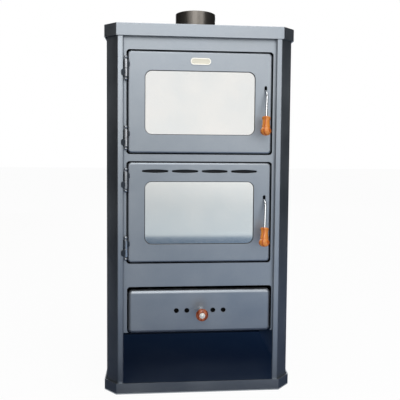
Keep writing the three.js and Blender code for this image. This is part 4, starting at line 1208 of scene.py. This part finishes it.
def makeFloor():
    tidySelection()
    bpy.ops.mesh.primitive_plane_add(size=24, location=(0, 0, -0.0005))
    floor = bpy.context.object
    floor.name = "floor"
    material, tree = newMaterial("palePaperFloor")
    paper = addNode(tree, "BsdfDiffuse", {"Color": colour(studio["floorColour"])})
    glow = addNode(tree, "Emission", {"Color": colour("#ffffff"), "Strength": 1.0})
    share = addNode(tree, "Math", {"operation": "MULTIPLY", 1: studio["whiteShare"]},
                    i0=paleView(tree))
    mixed = addNode(tree, "MixShader", i0=share.outputs[0], i1=paper.outputs[0], i2=glow.outputs[0])
    addNode(tree, "OutputMaterial", Surface=mixed.outputs[0])
    floor.data.materials.append(material)


def showInReflections(piece, diffuseToo):
    piece.visible_camera = False
    piece.visible_diffuse = diffuseToo
    piece.visible_shadow = False
    piece.visible_transmission = False


# Dark cards stand at both sides, as a photographer sets them; the camera doesn't see them.
def makeFlag(name, side):
    xs = sorted(side * (studio["flagDistance"] + sheet) for sheet in (0, studio["flagSheet"]))
    flag = startBlock(name, *zip(xs, studio["flagY"], studio["flagZ"]))
    material, tree = newMaterial("blackFlag")
    dark = addNode(tree, "Emission", {"Color": colour(studio["flagColour"]), "Strength": 1.0})
    addNode(tree, "OutputMaterial", Surface=dark.outputs[0])
    flag.data.materials.append(material)
    showInReflections(flag, True)


# Painted reflection: a glowing sheet that only reflections see, darker near the stove.
def makePaintedReflection():
    tidySelection()
    length = studio["paintedReflectionLength"]
    bpy.ops.mesh.primitive_plane_add(size=2 * length, location=(0, 0, 0.003))
    paintedReflection = placed("paintedReflectionSheet")
    material, tree = newMaterial("paintedReflectionGlow")
    place = addNode(tree, "TexCoord").outputs["Object"]
    parts = addNode(tree, "SeparateXYZ", Vector=place)
    away = addNode(tree, "Math", {"operation": "ABSOLUTE"}, i0=parts.outputs["Y"])
    share = addNode(tree, "Math", {"operation": "DIVIDE", 1: length}, i0=away.outputs[0])
    # Painted brightening: the glow's strength grows from left to right, most within 2.2 m of the stove.
    sideways = addNode(tree, "MapRange", {"From Min": -1.0, "From Max": 1.0, "To Min": studio["tiltLeft"],
                       "To Max": studio["tiltRight"]}, Value=parts.outputs["X"])
    fadeStart, fadeEnd = studio["tiltFade"]
    close = addNode(tree, "MapRange", {"From Min": fadeStart, "From Max": fadeEnd, "To Min": 1.0,
                    "To Max": studio["tiltFar"]}, Value=away.outputs[0])
    tilt = addNode(tree, "Math", {"operation": "MULTIPLY_ADD", 2: 1.0}, i0=sideways.outputs[0],
                   i1=close.outputs[0])
    tone = ramp(tree, share.outputs[0], [(d / length, hexText) for d, hexText in studio["paintedReflection"]])
    glow = addNode(tree, "Emission", Color=tone, Strength=tilt.outputs[0])
    addNode(tree, "OutputMaterial", Surface=glow.outputs[0])
    paintedReflection.data.materials.append(material)
    showInReflections(paintedReflection, False)


# Places and sizes in metres, power in watts; each lamp looks at a height on the stove's middle line.
lamps = {
    "frontSoftbox": {"place": (-0.35, -3.6, 2.55), "aim": 0.7, "size": (2.3, 2.2), "power": 32},
    "rightSoftbox": {"place": (2.05, -3.3, 1.45), "aim": 0.6, "size": (1.7, 1.8), "power": 16},
    "keyLamp": {"place": (-0.5, -3.0, 3.1), "aim": 0.6, "size": (0.6, 0.45), "power": 7},
    "topSoftbox": {"place": (0.2, -0.7, 3.4), "aim": 0.5, "size": (2.4, 2.0), "power": 40},
    "rearSoftbox": {"place": (0.9, 3.4, 2.6), "aim": 0.7, "size": (1.8, 1.8), "power": 24},
}


def addLamp(name, place, aim, size, power):
    data = bpy.data.lights.new(name, "AREA")
    data.shape = "RECTANGLE"
    data.size, data.size_y = size
    data.energy = power
    lamp = bpy.data.objects.new(name, data)
    bpy.context.scene.collection.objects.link(lamp)
    lamp.location = place
    lamp.rotation_euler = (Vector((0, 0, aim)) - Vector(place)).to_track_quat("-Z", "Y").to_euler()


bpy.context.scene.view_settings.view_transform = "Standard"
makeWorld()
makeFloor()
makeFlag("sideFlagLeft", -1)
makeFlag("sideFlagRight", 1)
makePaintedReflection()
for lampName, lamp in lamps.items():
    addLamp(lampName, **lamp)
print("studio set")
